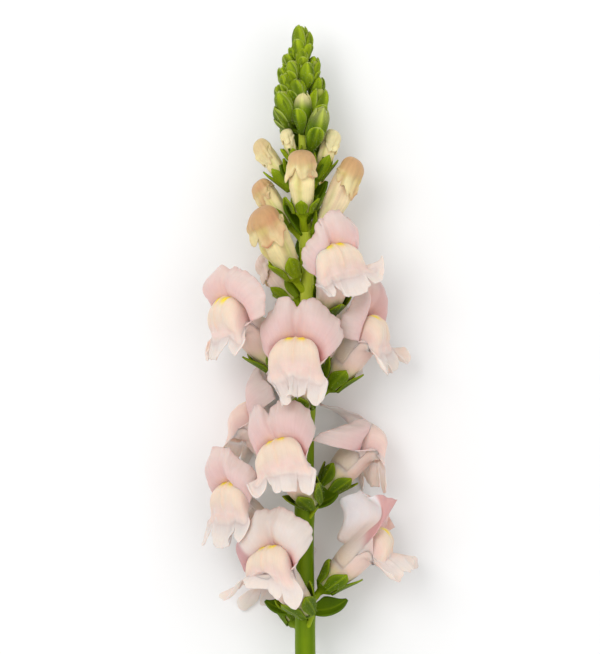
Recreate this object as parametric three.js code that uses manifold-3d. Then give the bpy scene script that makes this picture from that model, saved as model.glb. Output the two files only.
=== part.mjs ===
// A cut snapdragon stem with its open flowers, half-open buds and green tip buds, lying on its back.
// Millimetres. +Y runs along the stem from the cut end to the tip, +Z points up from the surface.
import * as THREE from "three";
import { mergeVertices } from "three/addons/utils/BufferGeometryUtils.js";
import Module from "manifold-3d";

const wasm = await Module();
wasm.setup();

const DEG = Math.PI / 180;

// Driving dimensions. Heights are measured along the stem from a point 70 above the cut end.
const CUT_END = -70;
const TIP = 242;
const SURFACE_DEPTH = -21; // the surface that the plant lies on, below the stem's line
const PETAL = 0.8; // thickness of a petal
const SEPAL = 0.7; // thickness of a sepal
const GAP = 0.6; // between a corolla and the calyx that holds it
const TUBE_TILT = 45 * DEG; // between a flower's tube and the stem
const SLIVER = 0.08; // facets are merged where that moves the surface by no more than this

// The main stem's line at evenly spaced heights: sideways place and radius.
const STEM_SIDEWAYS = [1.0, 0.5, 0.1, -0.4, 0.5, 1.2, 0.2, -0.9, -1.9];
const STEM_RADIUS = [4.2, 4.1, 3.9, 3.8, 3.1, 2.75, 2.3, 1.7, 0.5];
const SAG_START = 20; // below this height the bare stem sags to the surface
const SAG_POWER = 1.9;

// A smooth curve through evenly spaced values, at t from 0 to 1.
function spline(values, t) {
  const last = values.length - 1;
  const place = Math.min(Math.max(t, 0), 1) * last;
  const i = Math.min(Math.floor(place), last - 1);
  const f = place - i;
  const b = values[i];
  const c = values[i + 1];
  const a = i > 0 ? values[i - 1] : 2 * b - c;
  const d = i + 2 <= last ? values[i + 2] : 2 * c - b;
  return b + 0.5 * f * (c - a + f * (2 * a - 5 * b + 4 * c - d + f * (3 * (b - c) + d - a)));
}

function stemPoint(height) {
  const t = (height - CUT_END) / (TIP - CUT_END);
  const drop = SURFACE_DEPTH + STEM_RADIUS[0];
  const sag = Math.max(0, (SAG_START - height) / (SAG_START - CUT_END)) ** SAG_POWER;
  return new THREE.Vector3(spline(STEM_SIDEWAYS, t), height, drop * sag);
}

function stemRadius(height) {
  return spline(STEM_RADIUS, (height - CUT_END) / (TIP - CUT_END));
}

// Solids.
function closedSolid(points, triangles) {
  const make = (faces) =>
    new wasm.Manifold(
      new wasm.Mesh({
        numProp: 3,
        vertProperties: new Float32Array(points.flatMap((p) => [p.x, p.y, p.z])),
        triVerts: new Uint32Array(faces.flat()),
      }),
    );
  const solid = make(triangles);
  return solid.volume() < 0 ? make(triangles.map(([a, b, c]) => [a, c, b])) : solid;
}

// A solid between two grids of points with the same diagonals: front(i, j) and back(i, j).
function gridSolid(front, back, columns, rows) {
  const points = [];
  for (const face of [front, back])
    for (let i = 0; i <= columns; i++) for (let j = 0; j <= rows; j++) points.push(face(i, j));
  const at = (i, j) => i * (rows + 1) + j;
  const half = (columns + 1) * (rows + 1);
  const triangles = [];
  for (let i = 0; i < columns; i++)
    for (let j = 0; j < rows; j++) {
      const quad = [at(i, j), at(i + 1, j), at(i + 1, j + 1), at(i, j + 1)];
      // Diagonals lean away from the middle column, alike on both halves.
      const turns = i < columns / 2 ? [0, 1, 2, 3] : [1, 2, 3, 0];
      const [a, b, c, d] = turns.map((k) => quad[k]);
      triangles.push([a, b, c], [a, c, d]);
      triangles.push([a + half, c + half, b + half], [a + half, d + half, c + half]);
    }
  const rim = [];
  for (let i = 0; i < columns; i++) rim.push(at(i, 0));
  for (let j = 0; j < rows; j++) rim.push(at(columns, j));
  for (let i = columns; i > 0; i--) rim.push(at(i, rows));
  for (let j = rows; j > 0; j--) rim.push(at(0, j));
  rim.forEach((a, k) => {
    const b = rim[(k + 1) % rim.length];
    triangles.push([b, a, a + half], [b, a + half, b + half]);
  });
  return closedSolid(points, triangles);
}

// The outward direction of a net of points at one of them.
function netNormal(net, i, j, columns, rows) {
  const along = net(i, Math.min(j + 1, rows)).sub(net(i, Math.max(j - 1, 0)));
  const across = net(Math.min(i + 1, columns), j).sub(net(Math.max(i - 1, 0), j));
  return across.cross(along).normalize();
}

// A blade: a net of points thickened to both sides.
function blade(net, columns, rows, thickness) {
  const shifted = (side) => (i, j) =>
    net(i, j).addScaledVector(netNormal(net, i, j, columns, rows), (side * thickness) / 2);
  return gridSolid(shifted(1), shifted(-1), columns, rows);
}

// A closed body through rings of points: ring(k, angle) for k from 0 to rings - 1. Each quad between two
// rings is split along its shorter diagonal.
function loft(ring, rings, sides, startCap, endCap) {
  const points = [];
  for (let k = 0; k < rings; k++)
    for (let i = 0; i < sides; i++) points.push(ring(k, (2 * Math.PI * i) / sides));
  const start = points.push(startCap) - 1;
  const end = points.push(endCap) - 1;
  const triangles = [];
  for (let i = 0; i < sides; i++) {
    const next = (i + 1) % sides;
    for (let k = 0; k + 1 < rings; k++) {
      const [a, b] = [k * sides + i, k * sides + next];
      const [c, d] = [b + sides, a + sides];
      if (points[a].distanceTo(points[c]) < points[b].distanceTo(points[d])) {
        triangles.push([a, b, c], [a, c, d]);
      } else {
        triangles.push([a, b, d], [b, c, d]);
      }
    }
    triangles.push([start, next, i]);
    triangles.push([end, (rings - 1) * sides + i, (rings - 1) * sides + next]);
  }
  return closedSolid(points, triangles);
}

// A round bar along a line of points with a radius at each.
function bar(line, radii, sides) {
  const ring = (k, angle) => {
    const along = line[Math.min(k + 1, line.length - 1)].clone().sub(line[Math.max(k - 1, 0)]);
    const across = new THREE.Vector3(0, 0, 1).cross(along).normalize();
    const upward = along.clone().cross(across).normalize();
    return line[k]
      .clone()
      .addScaledVector(across, radii[k] * Math.cos(angle))
      .addScaledVector(upward, radii[k] * Math.sin(angle));
  };
  return loft(ring, line.length, sides, line[0].clone(), line[line.length - 1].clone());
}

function join(solids) {
  return solids.reduce((sum, next) => sum.add(next));
}

// The largest body of a join, with any hollow sealed inside it filled.
function wholeBody(solid) {
  const bodies = solid.decompose().filter((body) => body.volume() > 0);
  return bodies.reduce((best, body) => (body.volume() > best.volume() ? body : best));
}

function aboveSurface(solid) {
  return solid.trimByPlane([0, 0, 1], SURFACE_DEPTH);
}

// Places. A flower's own frame is (out, side, up): out from the stem, to its side, along the stem. azimuth is
// where its stalk leaves the stem, round from the top view's side, and facing is where it looks.
function flowerFrame({ height, azimuth, facing = azimuth, reach, pitch = 0, roll = 0, size = 1 }) {
  const away = new THREE.Vector3(Math.sin(azimuth * DEG), 0, Math.cos(azimuth * DEG));
  const out = new THREE.Vector3(Math.sin(facing * DEG), 0, Math.cos(facing * DEG));
  const up = new THREE.Vector3(0, 1, 0);
  const side = up.clone().cross(out);
  const base = stemPoint(height).addScaledVector(away, reach);
  const [cp, sp] = [Math.cos(pitch * DEG), Math.sin(pitch * DEG)];
  const [cr, sr] = [Math.cos(roll * DEG), Math.sin(roll * DEG)];
  return (r, l, h) => {
    const rolledSide = (l * cr - h * sr) * size;
    const rolledUp = (h * cr + l * sr) * size;
    return base
      .clone()
      .addScaledVector(out, r * size * cp + rolledUp * sp)
      .addScaledVector(side, rolledSide)
      .addScaledVector(up, rolledUp * cp - r * size * sp);
  };
}

// Petals that would reach below the surface lie flat along it.
const PRESSED_DEPTH = 0.2; // of a pressed petal's middle above the surface

function pressed(point, clearance) {
  point.z = Math.max(point.z, SURFACE_DEPTH + clearance);
  return point;
}

// The corolla's tube in the flower's frame, by its share of the length and the angle from the top.
const TUBE_DORSAL = [3.2, 4.6, 5.4, 6.1, 6.5];
const TUBE_VENTRAL = [3.2, 4.8, 6.0, 6.3, 6.4];
const TUBE_LATERAL = [3.2, 5.0, 5.6, 6.3, 6.8];
const TUBE_RINGS = [0, 0.25, 0.6, 1];
const TUBE_SIDES = 8;
const TUBE_LENGTH = 19;
const TUBE_LOWER_EXTRA = 5; // how much further the tube's underside runs than its top
const TUBE_LOWER_POWER = 1.5; // how closely that is held to the underside

function tubePoint(share, angle, clearance = 0) {
  const length = TUBE_LENGTH + TUBE_LOWER_EXTRA * Math.max(0, -Math.cos(angle)) ** TUBE_LOWER_POWER;
  const along = share * length;
  const raised = Math.cos(angle) > 0 ? spline(TUBE_DORSAL, share) : spline(TUBE_VENTRAL, share);
  const w = (raised + clearance) * Math.cos(angle);
  const l = (spline(TUBE_LATERAL, share) + clearance) * Math.sin(angle);
  return [
    along * Math.sin(TUBE_TILT) - w * Math.cos(TUBE_TILT),
    l,
    along * Math.cos(TUBE_TILT) + w * Math.sin(TUBE_TILT),
  ];
}

// Ribs of the upper lip from its middle to its side, each from the tube to the margin: out, side, up.
const UPPER_LIP = [
  [[8.2, 0, 16.7], [14, 0, 24], [17, 0, 29], [17.5, 0, 34.5], [15, 0, 39.5]],
  [[8.5, 2.4, 16.4], [14.3, 3.4, 24], [18.8, 4.4, 29.5], [19.4, 5.4, 35.5], [15, 5.8, 42]],
  [[9.3, 4.5, 15.6], [15, 6.6, 23], [19, 8.8, 28.5], [18.2, 11, 34.5], [13, 11.6, 39.6]],
  [[10.8, 5.9, 14.2], [15.8, 9, 20.6], [18, 12, 25], [16, 14.8, 29.5], [11, 15.8, 34]],
  [[12.6, 6.3, 12.6], [15.6, 9.6, 16.6], [16, 12.8, 19.4], [14, 15, 22.4], [10.6, 16, 26.4]],
];

// Ribs of the palate and lower lip from the middle to the side, each from the throat over the palate's
// crest and front to the waist, the lobe and its margin: out, side, up.
const LOWER_LIP = [
  [[12, 0, 20], [17, 0, 25.4], [22, 0, 23.6], [23.6, 0, 19.5], [22.8, 0, 15], [24.8, 0, 9.5], [26, 0, 3]],
  [
    [12, 2.8, 19.8], [17, 3.2, 26.6], [22.7, 3.6, 24.6], [24.6, 3.9, 20], [23.2, 3.8, 15],
    [25, 4, 9.5], [26.2, 4.3, 3],
  ],
  [
    [12.3, 4.6, 18.5], [17, 5.8, 25], [22.3, 6.8, 22.8], [24, 7.2, 18.5], [22.2, 7.1, 14.2],
    [23.6, 7.3, 9.5], [24.6, 7.3, 4],
  ],
  [
    [12.8, 6, 16.5], [16.8, 7.8, 21.8], [21, 9.3, 20], [22.3, 9.6, 16.8], [21.2, 10, 12.8],
    [23.6, 12, 7], [25, 12.6, 1],
  ],
  [
    [12.6, 6.3, 12.6], [16, 8.4, 16.3], [18.5, 9.4, 15.5], [19.3, 10, 14], [19.8, 11.6, 11.8],
    [21.6, 14.6, 8.5], [22.6, 16, 4],
  ],
];
const LIP_COLUMNS = 8;
const UPPER_ROWS = 4;
const LOWER_ROWS = 6;
const LOBE_START = 4; // the row of the waist, where the free lobes begin
const HINGE = 12.6; // how far out and up the corners of the mouth are, about which the jaw opens
const PALATE_CORE = { out: 16.5, up: 16.5, sideShare: 0.4 };
const PALATE_DEPTH = [0.6, 0.75, 0.8, 0.75, 0.4]; // share of the way to the core, row by row

// How a lip's margin stands: five shifts of (out, side, up) from its left corner to its right corner.
const AT_REST = [[0, 0, 0], [0, 0, 0], [0, 0, 0], [0, 0, 0], [0, 0, 0]];

// A point of a lip's ribs. across runs from -1 to 1, and the rows past start follow the margin's shifts, the
// sooner the smaller bend, at the middle of the lip, and curl, at its corners, are.
function lipPoint(ribs, across, row, start, shifts, { jaw = 0, bend = 0.4, curl = 1 }) {
  const rib = ribs[Math.round(Math.abs(across) * (ribs.length - 1))];
  const rows = rib.length - 1;
  const share = Math.max(0, (row - start) / (rows - start));
  const free = share ** (bend + (curl - bend) * Math.abs(across));
  const place = ((across + 1) / 2) * (shifts.length - 1);
  const k = Math.min(Math.floor(place), shifts.length - 2);
  const shift = [0, 1, 2].map((axis) => {
    const [near, far] = [shifts[k][axis], shifts[k + 1][axis]];
    return free * (near + (place - k) * (far - near));
  });
  let [r, l, h] = rib[row];
  if (row > 0) {
    const [ahead, above] = [r - HINGE, h - HINGE];
    r = HINGE + ahead * Math.cos(jaw * DEG) + above * Math.sin(jaw * DEG);
    h = HINGE + above * Math.cos(jaw * DEG) - ahead * Math.sin(jaw * DEG);
  }
  return [r + shift[0], Math.sign(across) * Math.max(l + shift[1], 0), h + shift[2]];
}

function corolla(flower) {
  const place = flowerFrame(flower);
  const tube = loft(
    (k, angle) => pressed(place(...tubePoint(TUBE_RINGS[k], angle)), 0),
    TUBE_RINGS.length,
    TUBE_SIDES,
    place(0, 0, 0),
    pressed(place(PALATE_CORE.out, 0, PALATE_CORE.up), 0),
  );
  const { upper: upperShifts = AT_REST, lower: lowerShifts = AT_REST, bend, curl, jaw } = flower;
  const upperNet = (i, j) => {
    const across = (2 * i) / LIP_COLUMNS - 1;
    const point = lipPoint(UPPER_LIP, across, j, 0, upperShifts, { bend, curl });
    return pressed(place(...point), PRESSED_DEPTH);
  };
  const lowerNet = (i, j) => {
    const across = (2 * i) / LIP_COLUMNS - 1;
    const point = lipPoint(LOWER_LIP, across, j, LOBE_START, lowerShifts, { jaw });
    return pressed(place(...point), PRESSED_DEPTH);
  };
  const upper = blade(upperNet, LIP_COLUMNS, UPPER_ROWS, PETAL);
  const lowerBack = (i, j) => {
    const point = lowerNet(i, j);
    if (j > LOBE_START) {
      return point.addScaledVector(netNormal(lowerNet, i, j, LIP_COLUMNS, LOWER_ROWS), -PETAL);
    }
    const across = (2 * i) / LIP_COLUMNS - 1;
    const rib = LOWER_LIP[Math.round(Math.abs(across) * (LOWER_LIP.length - 1))];
    const side = Math.sign(across) * rib[j][1] * PALATE_CORE.sideShare;
    return point.lerp(place(PALATE_CORE.out, side, PALATE_CORE.up), PALATE_DEPTH[j]);
  };
  const lower = gridSolid(lowerNet, lowerBack, LIP_COLUMNS, LOWER_ROWS);
  return wholeBody(aboveSurface(join([tube, upper, lower])).simplify(SLIVER));
}

// The flower stalk, the cup at its end and the five pointed sepals that stand up round what it holds, as one
// wall. around(u, angle, clearance) is the outside of what it holds, at the distance u from its foot, and
// profile is how much of the length each column of a sepal reaches.
const SEPALS = 5;
const FLOWER_SEPAL = [0, 1, 0.86]; // how far the notch and a broad sepal's two shoulders reach
const BUD_SEPAL = [0, 1]; // how far the notch and a narrow sepal's tip reach
const STALK_RADIUS = 1.3;
const STALK_SIDES = 5;
const SEPAL_CLEARANCE = 1.0; // between a corolla and the foot of a sepal
const SEPAL_FLARE = 0.9; // what a sepal's tip adds to that
const NOTCH_HEIGHT = 0.8; // of the notches between the sepals above the foot of what the cup holds
const SHOULDER = { height: 0.2, share: 0.4 }; // the ring half way up a sepal
const CUP_DEPTH = 1.8; // of the cup below the foot of what it holds
const CUP_FOOT = 0.8; // share of the foot's radius that the cup keeps at its bottom
const STALK_END = 1.2; // of the stalk's end below that foot, inside the cup
const STALK_DROP = { perReach: 0.8, more: 2.5 }; // how far down the stem the stalk starts

function calyx(flower, { tilt, around, footRadius, length, profile }) {
  const place = flowerFrame(flower);
  const along = (u, radius, angle) => {
    const w = radius * Math.cos(angle);
    return place(
      u * Math.sin(tilt) - w * Math.cos(tilt),
      radius * Math.sin(angle),
      u * Math.cos(tilt) + w * Math.sin(tilt),
    );
  };
  const wall = (u, angle, clearance) => place(...around(u, angle, clearance));
  const root = stemPoint(flower.height - flower.reach * STALK_DROP.perReach - STALK_DROP.more);
  const inner = SEPAL_CLEARANCE;
  const outer = SEPAL_CLEARANCE + SEPAL;
  const rings = [
    (angle) => along(-CUP_DEPTH, footRadius * CUP_FOOT, angle),
    (angle, reach) => wall(SHOULDER.height + reach * length * SHOULDER.share, angle, outer),
    (angle, reach) => wall(NOTCH_HEIGHT + reach * length, angle, outer + SEPAL_FLARE * reach),
    (angle, reach) => wall(NOTCH_HEIGHT + reach * length, angle, inner + SEPAL_FLARE * reach),
    (angle) => along(-GAP, footRadius + GAP, angle),
  ];
  const columns = SEPALS * profile.length;
  const ring = (k, angle) => {
    const column = Math.round((angle * columns) / (2 * Math.PI));
    return rings[k](angle, profile[column % profile.length]);
  };
  const crown = loft(ring, rings.length, columns, along(-CUP_DEPTH, 0, 0), along(-GAP, 0, 0));
  const stalkRing = (k, angle) => {
    const foot = along(-STALK_END, STALK_RADIUS, angle);
    return k === 0 ? foot.sub(along(-STALK_END, 0, 0)).add(root) : foot;
  };
  const stalk = loft(stalkRing, 2, STALK_SIDES, root, along(-STALK_END, 0, 0));
  return crown.add(stalk);
}

const FLOWER_SEPAL_LENGTH = 8.5;
const BUD_SEPAL_LENGTH = 8; // where a bud's own isn't given

function flowerCalyx(flower) {
  const around = (u, angle, clearance) => tubePoint(u / TUBE_LENGTH, angle, clearance);
  const footRadius = TUBE_DORSAL[0];
  const length = FLOWER_SEPAL_LENGTH;
  return calyx(flower, { tilt: TUBE_TILT, around, footRadius, length, profile: FLOWER_SEPAL });
}

// A half-open bud in its own frame, whose axis runs up: the closed corolla, and the hood of upper lobes
// folded down over its front. Widths are shares of the half width.
const BUD_SHARES = [0, 0.18, 0.4, 0.66, 0.86, 1];
const BUD_SIDE = [0.42, 0.6, 0.76, 0.87, 0.78, 0.28];
const BUD_FRONT = [0.42, 0.62, 0.8, 0.92, 0.82, 0.28];
const BUD_BACK = [0.42, 0.56, 0.68, 0.79, 0.74, 0.26];
const HOOD_SHARES = [0.58, 0.68, 0.86, 1.0];
const HOOD_SCALE = [1.06, 1.06, 0.96, 0.5];
const HOOD_FORWARD = [0.2, 0.24, 0.2, 0.06];
const HOOD_SIDE_DROP = 0.1; // how much lower the hood's margin hangs at its sides
const HOOD_FRONT_RISE = 0.02; // and how much it is raised in front
const HOOD_BACK = 0.4; // share of the forward shift that the hood's back has
const HOOD_CROWN = 0.3; // of the hood's top above its last ring
const BUD_CROWN = 1.01; // share of the length at which the body under it ends
const BUD_SIDES = 8;

function budAt(values, share) {
  const k = BUD_SHARES.findIndex((s) => s >= share - 1e-9);
  if (k <= 0) return values[0];
  const f = (share - BUD_SHARES[k - 1]) / (BUD_SHARES[k] - BUD_SHARES[k - 1]);
  return values[k - 1] + f * (values[k] - values[k - 1]);
}

function budPoint(bud, share, angle, clearance = 0) {
  const half = bud.width / 2;
  const out = Math.cos(angle) > 0 ? budAt(BUD_FRONT, share) : budAt(BUD_BACK, share);
  return [
    (half * out + clearance) * Math.cos(angle),
    (half * budAt(BUD_SIDE, share) + clearance) * Math.sin(angle),
    share * bud.length,
  ];
}

function budCorolla(bud) {
  const place = flowerFrame(bud);
  const body = loft(
    (k, angle) => pressed(place(...budPoint(bud, BUD_SHARES[k], angle)), 0),
    BUD_SHARES.length,
    BUD_SIDES,
    place(0, 0, 0),
    place(0, 0, bud.length * BUD_CROWN),
  );
  const half = bud.width / 2;
  const hood = loft(
    (k, angle) => {
      const front = Math.max(0, Math.cos(angle));
      const drop = k === 0 ? HOOD_SIDE_DROP * Math.abs(Math.sin(angle)) - HOOD_FRONT_RISE * front : 0;
      const height = (HOOD_SHARES[k] - drop) * bud.length;
      const out = half * (HOOD_SCALE[k] * Math.cos(angle) + HOOD_FORWARD[k] * (HOOD_BACK + front));
      return pressed(place(out, half * HOOD_SCALE[k] * Math.sin(angle), height), 0);
    },
    HOOD_SHARES.length,
    BUD_SIDES,
    place(0, 0, HOOD_SHARES[0] * bud.length),
    place(0, 0, HOOD_SHARES.at(-1) * bud.length + HOOD_CROWN),
  );
  return wholeBody(aboveSurface(body.add(hood)));
}

function budCalyx(bud) {
  const around = (u, angle, clearance) => budPoint(bud, u / bud.length, Math.PI - angle, clearance);
  const footRadius = (BUD_SIDE[0] * bud.width) / 2;
  const length = bud.sepals ?? BUD_SEPAL_LENGTH;
  return calyx(bud, { tilt: 0, around, footRadius, length, profile: BUD_SEPAL });
}

// A tight green bud on a short root in the stem: three sepals closed over it leave grooves between them.
const GREEN_BUD_SHARES = [0, 0.3, 0.62, 0.88];
const GREEN_BUD_SCALE = [0.4, 0.95, 1, 0.7];
const GREEN_BUD_SIDES = 6;
const GREEN_BUD_GROOVES = { count: 3, depth: 0.07 };
const GREEN_BUD_ROOT = { drop: 1.5, share: 0.15 }; // where it starts between the stem's line and the bud

function greenBud(bud) {
  const place = flowerFrame(bud);
  const ring = (k, angle) => {
    const { count, depth } = GREEN_BUD_GROOVES;
    const groove = 1 - depth + depth * Math.cos(count * angle);
    const radius = (bud.width / 2) * GREEN_BUD_SCALE[k] * groove;
    return place(radius * Math.cos(angle), radius * Math.sin(angle), GREEN_BUD_SHARES[k] * bud.length);
  };
  const { drop, share } = GREEN_BUD_ROOT;
  const root = stemPoint(bud.height - drop).lerp(place(0, 0, -drop), share);
  return loft(ring, GREEN_BUD_SHARES.length, GREEN_BUD_SIDES, root, place(0, 0, bud.length));
}

// A bract: a blunt leaf that leaves the stem below a flower and curves up, turned about its length by twist.
const BRACT_OUTLINE = [0.55, 1, 0.8, 0.12]; // share of the width from the foot to the tip
const BRACT_LEAN = [1.3, 0.6]; // share of the spread at the foot and at the tip
const BRACT_ROOT = 0.6; // of its foot inside the stem
const BRACT = 0.9; // thickness of a bract

function bract({ height, azimuth, length, width, spread, twist }) {
  const place = flowerFrame({ height, azimuth, reach: 0 });
  const last = BRACT_OUTLINE.length - 1;
  let [out, up] = [stemRadius(height) - BRACT_ROOT, 0];
  const line = BRACT_OUTLINE.map((share, j) => {
    const lean = spread * DEG * (BRACT_LEAN[0] + (BRACT_LEAN[1] - BRACT_LEAN[0]) * (j / last));
    const point = { out, up, lean, half: (share * width) / 2 };
    out += (length / last) * Math.sin(lean);
    up += (length / last) * Math.cos(lean);
    return point;
  });
  return blade(
    (i, j) => {
      const across = (i - 1) * line[j].half;
      const turned = across * Math.sin(twist * DEG);
      const { out: r, up: h, lean } = line[j];
      return place(r - turned * Math.cos(lean), across * Math.cos(twist * DEG), h + turned * Math.sin(lean));
    },
    2,
    last,
    BRACT,
  );
}

// The open flowers, from the top of the front down, and then those under the stem.
const FLOWERS = {
  flower_1: {
    height: 130.3, azimuth: 75, facing: 25, reach: 7.5, roll: 14,
    upper: [[0, -7, -4], [0, -6, -6], [0, 0, -4], [1, -2, -5], [7, -8, 2]],
    lower: [[-2, -8, 9], [0, -3, 8], [2, 0, 8], [0, 0, 9], [0, -2, 14]],
  },
  flower_2: {
    height: 108.3, azimuth: -72, facing: -65, reach: 10.6, pitch: -5, size: 1.12, jaw: 25,
    upper: [[12, -6, -1], [11, -3.6, -9], [7, 0, -5], [5, -0.6, -9], [3.6, -1, -1]],
    lower: [[4, -4, 6], [4, 0, 4], [4, 0, 4], [4, -1, 6], [3.5, -4, 7]],
  },
  flower_3: {
    height: 94.5, azimuth: -10, reach: 6.3,
    upper: [[1, -2.4, 0], [1, -1.4, -2.6], [0, 0, 0], [0, 0, -2.6], [0, 0, 0]],
    lower: [[0, -12, 1], [0, -7, 0], [2, 0, 3], [0, -3, 0], [0, -6, 1]],
  },
  flower_4: {
    height: 101.7, azimuth: 78, reach: 8.4, pitch: -8, jaw: 14, bend: 1.6,
    upper: [[-2, -7, -8], [1, -6, -10], [5, 0, -1], [10, -3, -6], [12, -4, 0]],
    lower: [[4, -4, 4], [2, -1, 3], [2, 0, 3], [5, 0, 6], [8, 0, 8]],
  },
  flower_5: {
    height: 68.6, azimuth: -112, reach: 6.3, pitch: -4,
    upper: [[0, 0, 0], [0, 0, 0], [0, 0, 0], [-4, -2, -4], [-8, -3, 2]],
  },
  flower_6: {
    height: 57.5, azimuth: 25, facing: -20, reach: 7.2, roll: 18,
    upper: [[0, -6, 3], [1, -5, 0], [3.4, 0, -2], [2.4, -1, -2], [0, -3.5, 0]],
    lower: [[0, -3, 8], [0, -2, 5], [3, 0, 4], [0, -3, 1], [0, -6, 2]],
  },
  flower_7: {
    height: 44.5, azimuth: -108, facing: -50, reach: 12.2, pitch: 10, size: 0.95,
    upper: [[2, -7, -3], [2, -5, -5], [2, 0, -1], [2, -5, -5], [2, -7, -3]],
    lower: [[0, -3, 2], [0, 0, 0], [0, 0, -1], [0, -3, 2], [0, -5, 4]],
  },
  flower_8: {
    height: 16.2, azimuth: 8, facing: -40, reach: 7.3, roll: 8,
    upper: [[9, -4, -5], [7, -3, -6], [0, 0, 1], [0, -1, -4], [0, -1, 0]],
    lower: [[2, 3, 6], [0, 1, 9], [-2, 0, 8], [0, 0, 1], [-1, -1, 1]],
  },
  flower_9: {
    height: 61.6, azimuth: 112, reach: 7.6, bend: 1.2,
    upper: [[-20.6, -2, -6.7], [-10.7, -0.6, -14.5], [5, 0, -15], [-10.6, -2.6, -6.2], [4.5, -4, 1.6]],
    lower: [[-6, 0, 0], [-6, 0, 0], [-4, 0, 0], [-4, 0, 0], [-2, 0, 0]],
  },
  flower_10: {
    height: 25, azimuth: 86, reach: 7.4, jaw: 24, bend: 0.1, curl: 2,
    upper: [[18, -5, 8], [5, 0, -4], [-9.5, 0, -6], [8, 0, -7], [16, -2, -4]],
    lower: [[8, -2, 6], [11, 0, 7], [12, 0, 10], [14, 0, 11], [16, -2, 11]],
  },
  flower_11: { height: 101, azimuth: 165, reach: 7, pitch: -12, size: 0.85 },
  flower_12: {
    height: 11, azimuth: -150, facing: -155, reach: 6.8, pitch: -12, size: 0.85,
    upper: [[0, -6, -3], [0, -4, -2], [0, 0, -2], [0, -4, -2], [0, -6, -3]],
  },
};

// The half-open buds. pitch is the lean from the stem.
const BUDS = {
  bud_1: { height: 167.5, azimuth: -8, reach: 6.4, pitch: 10, length: 24, width: 12 },
  bud_2: { height: 143.5, azimuth: -55, reach: 6, pitch: 31, length: 30, width: 13.5 },
  bud_3: { height: 158.8, azimuth: 78, reach: 4.5, pitch: 26, length: 33, width: 10 },
  bud_4: { height: 163, azimuth: -98, reach: 5.8, pitch: 36, length: 21, width: 9 },
  bud_5: { height: 177, azimuth: -98, reach: 4.4, pitch: 36, length: 23, width: 7, sepals: 10 },
  bud_6: { height: 187, azimuth: -64, reach: 3.8, pitch: 16, length: 13, width: 4.8, sepals: 5 },
  bud_7: { height: 180.5, azimuth: 86, reach: 4.4, pitch: 20, length: 20, width: 7, sepals: 9 },
  bud_8: { height: 134, azimuth: -125, reach: 5, pitch: 42, length: 24, width: 10 },
  bud_9: { height: 142, azimuth: 152, reach: 5, pitch: 22, length: 28, width: 11 },
  bud_10: { height: 168, azimuth: 168, reach: 4.6, pitch: 20, length: 22, width: 9 },
};

// The green buds of the tip, those on the far side last.
const GREEN_BUDS = [
  { height: 202.5, azimuth: -60, reach: 4.6, pitch: 22, length: 13, width: 8 },
  { height: 202.8, azimuth: 60, reach: 4, pitch: 20, length: 13.5, width: 7.4 },
  { height: 198.7, azimuth: 0, reach: 4.2, pitch: 4, length: 15, width: 7.4 },
  { height: 199.5, azimuth: -98, reach: 4.4, pitch: 24, length: 11.5, width: 8 },
  { height: 192, azimuth: 36, reach: 4.6, pitch: 27, length: 18, width: 7.6 },
  { height: 212.4, azimuth: -68, reach: 4, pitch: 20, length: 9.5, width: 5.8 },
  { height: 209, azimuth: -22, reach: 3.6, pitch: 8, length: 10, width: 6.4 },
  { height: 215, azimuth: 25, reach: 2.6, pitch: 10, length: 10.5, width: 6 },
  { height: 217.5, azimuth: 80, reach: 3, pitch: 18, length: 9, width: 5 },
  { height: 210.5, azimuth: 92, reach: 3.6, pitch: 20, length: 10, width: 6 },
  { height: 217, azimuth: -45, reach: 2.8, pitch: 14, length: 9.5, width: 5.6 },
  { height: 222, azimuth: 5, reach: 2, pitch: 4, length: 9, width: 4.8 },
  { height: 225, azimuth: -80, reach: 2, pitch: 14, length: 6.5, width: 4 },
  { height: 225.5, azimuth: -20, reach: 0.6, pitch: 0, length: 14.2, width: 6.4 },
  { height: 225.5, azimuth: 60, reach: 1.4, pitch: 4, length: 12, width: 5.4 },
  { height: 188, azimuth: 152, reach: 4, pitch: 26, length: 15, width: 8 },
  { height: 192, azimuth: -140, reach: 4, pitch: 26, length: 13, width: 8 },
  { height: 204, azimuth: -175, reach: 3.8, pitch: 22, length: 12, width: 7 },
];

const BRACTS = [
  { height: 16.5, azimuth: 84, length: 14, width: 8, spread: 75, twist: 60 },
  { height: 17, azimuth: -80, length: 13, width: 7, spread: 78, twist: -60 },
  { height: 57.5, azimuth: 64, length: 12, width: 8, spread: 75, twist: 55 },
  { height: 137, azimuth: 2, length: 8, width: 7, spread: 40, twist: 0 },
  { height: 99, azimuth: -84, length: 8, width: 6, spread: 50, twist: -40 },
];

const STEM_SEGMENTS = 10;
const STEM_SIDES = 8;
const STEM_TOP = 230; // the stem ends inside the topmost bud

function mainStem() {
  const line = [];
  const radii = [];
  for (let k = 0; k <= STEM_SEGMENTS; k++) {
    const height = CUT_END + ((STEM_TOP - CUT_END) * k) / STEM_SEGMENTS;
    line.push(stemPoint(height));
    radii.push(stemRadius(height));
  }
  return bar(line, radii, STEM_SIDES);
}

const GREEN = new THREE.MeshStandardMaterial({ color: 0x7d9a1c, roughness: 0.55, metalness: 0 });
const PINK = new THREE.MeshStandardMaterial({ color: 0xecd2ca, roughness: 0.6, metalness: 0 });
const TAN = new THREE.MeshStandardMaterial({ color: 0xdfc79a, roughness: 0.6, metalness: 0 });

function meshOf(name, solid, material) {
  const made = solid.getMesh();
  const geometry = new THREE.BufferGeometry();
  geometry.setAttribute("position", new THREE.BufferAttribute(Float32Array.from(made.vertProperties), 3));
  geometry.setIndex(new THREE.BufferAttribute(Uint32Array.from(made.triVerts), 1));
  const mesh = new THREE.Mesh(mergeVertices(geometry, 1e-4), material);
  mesh.name = name;
  return mesh;
}

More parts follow.
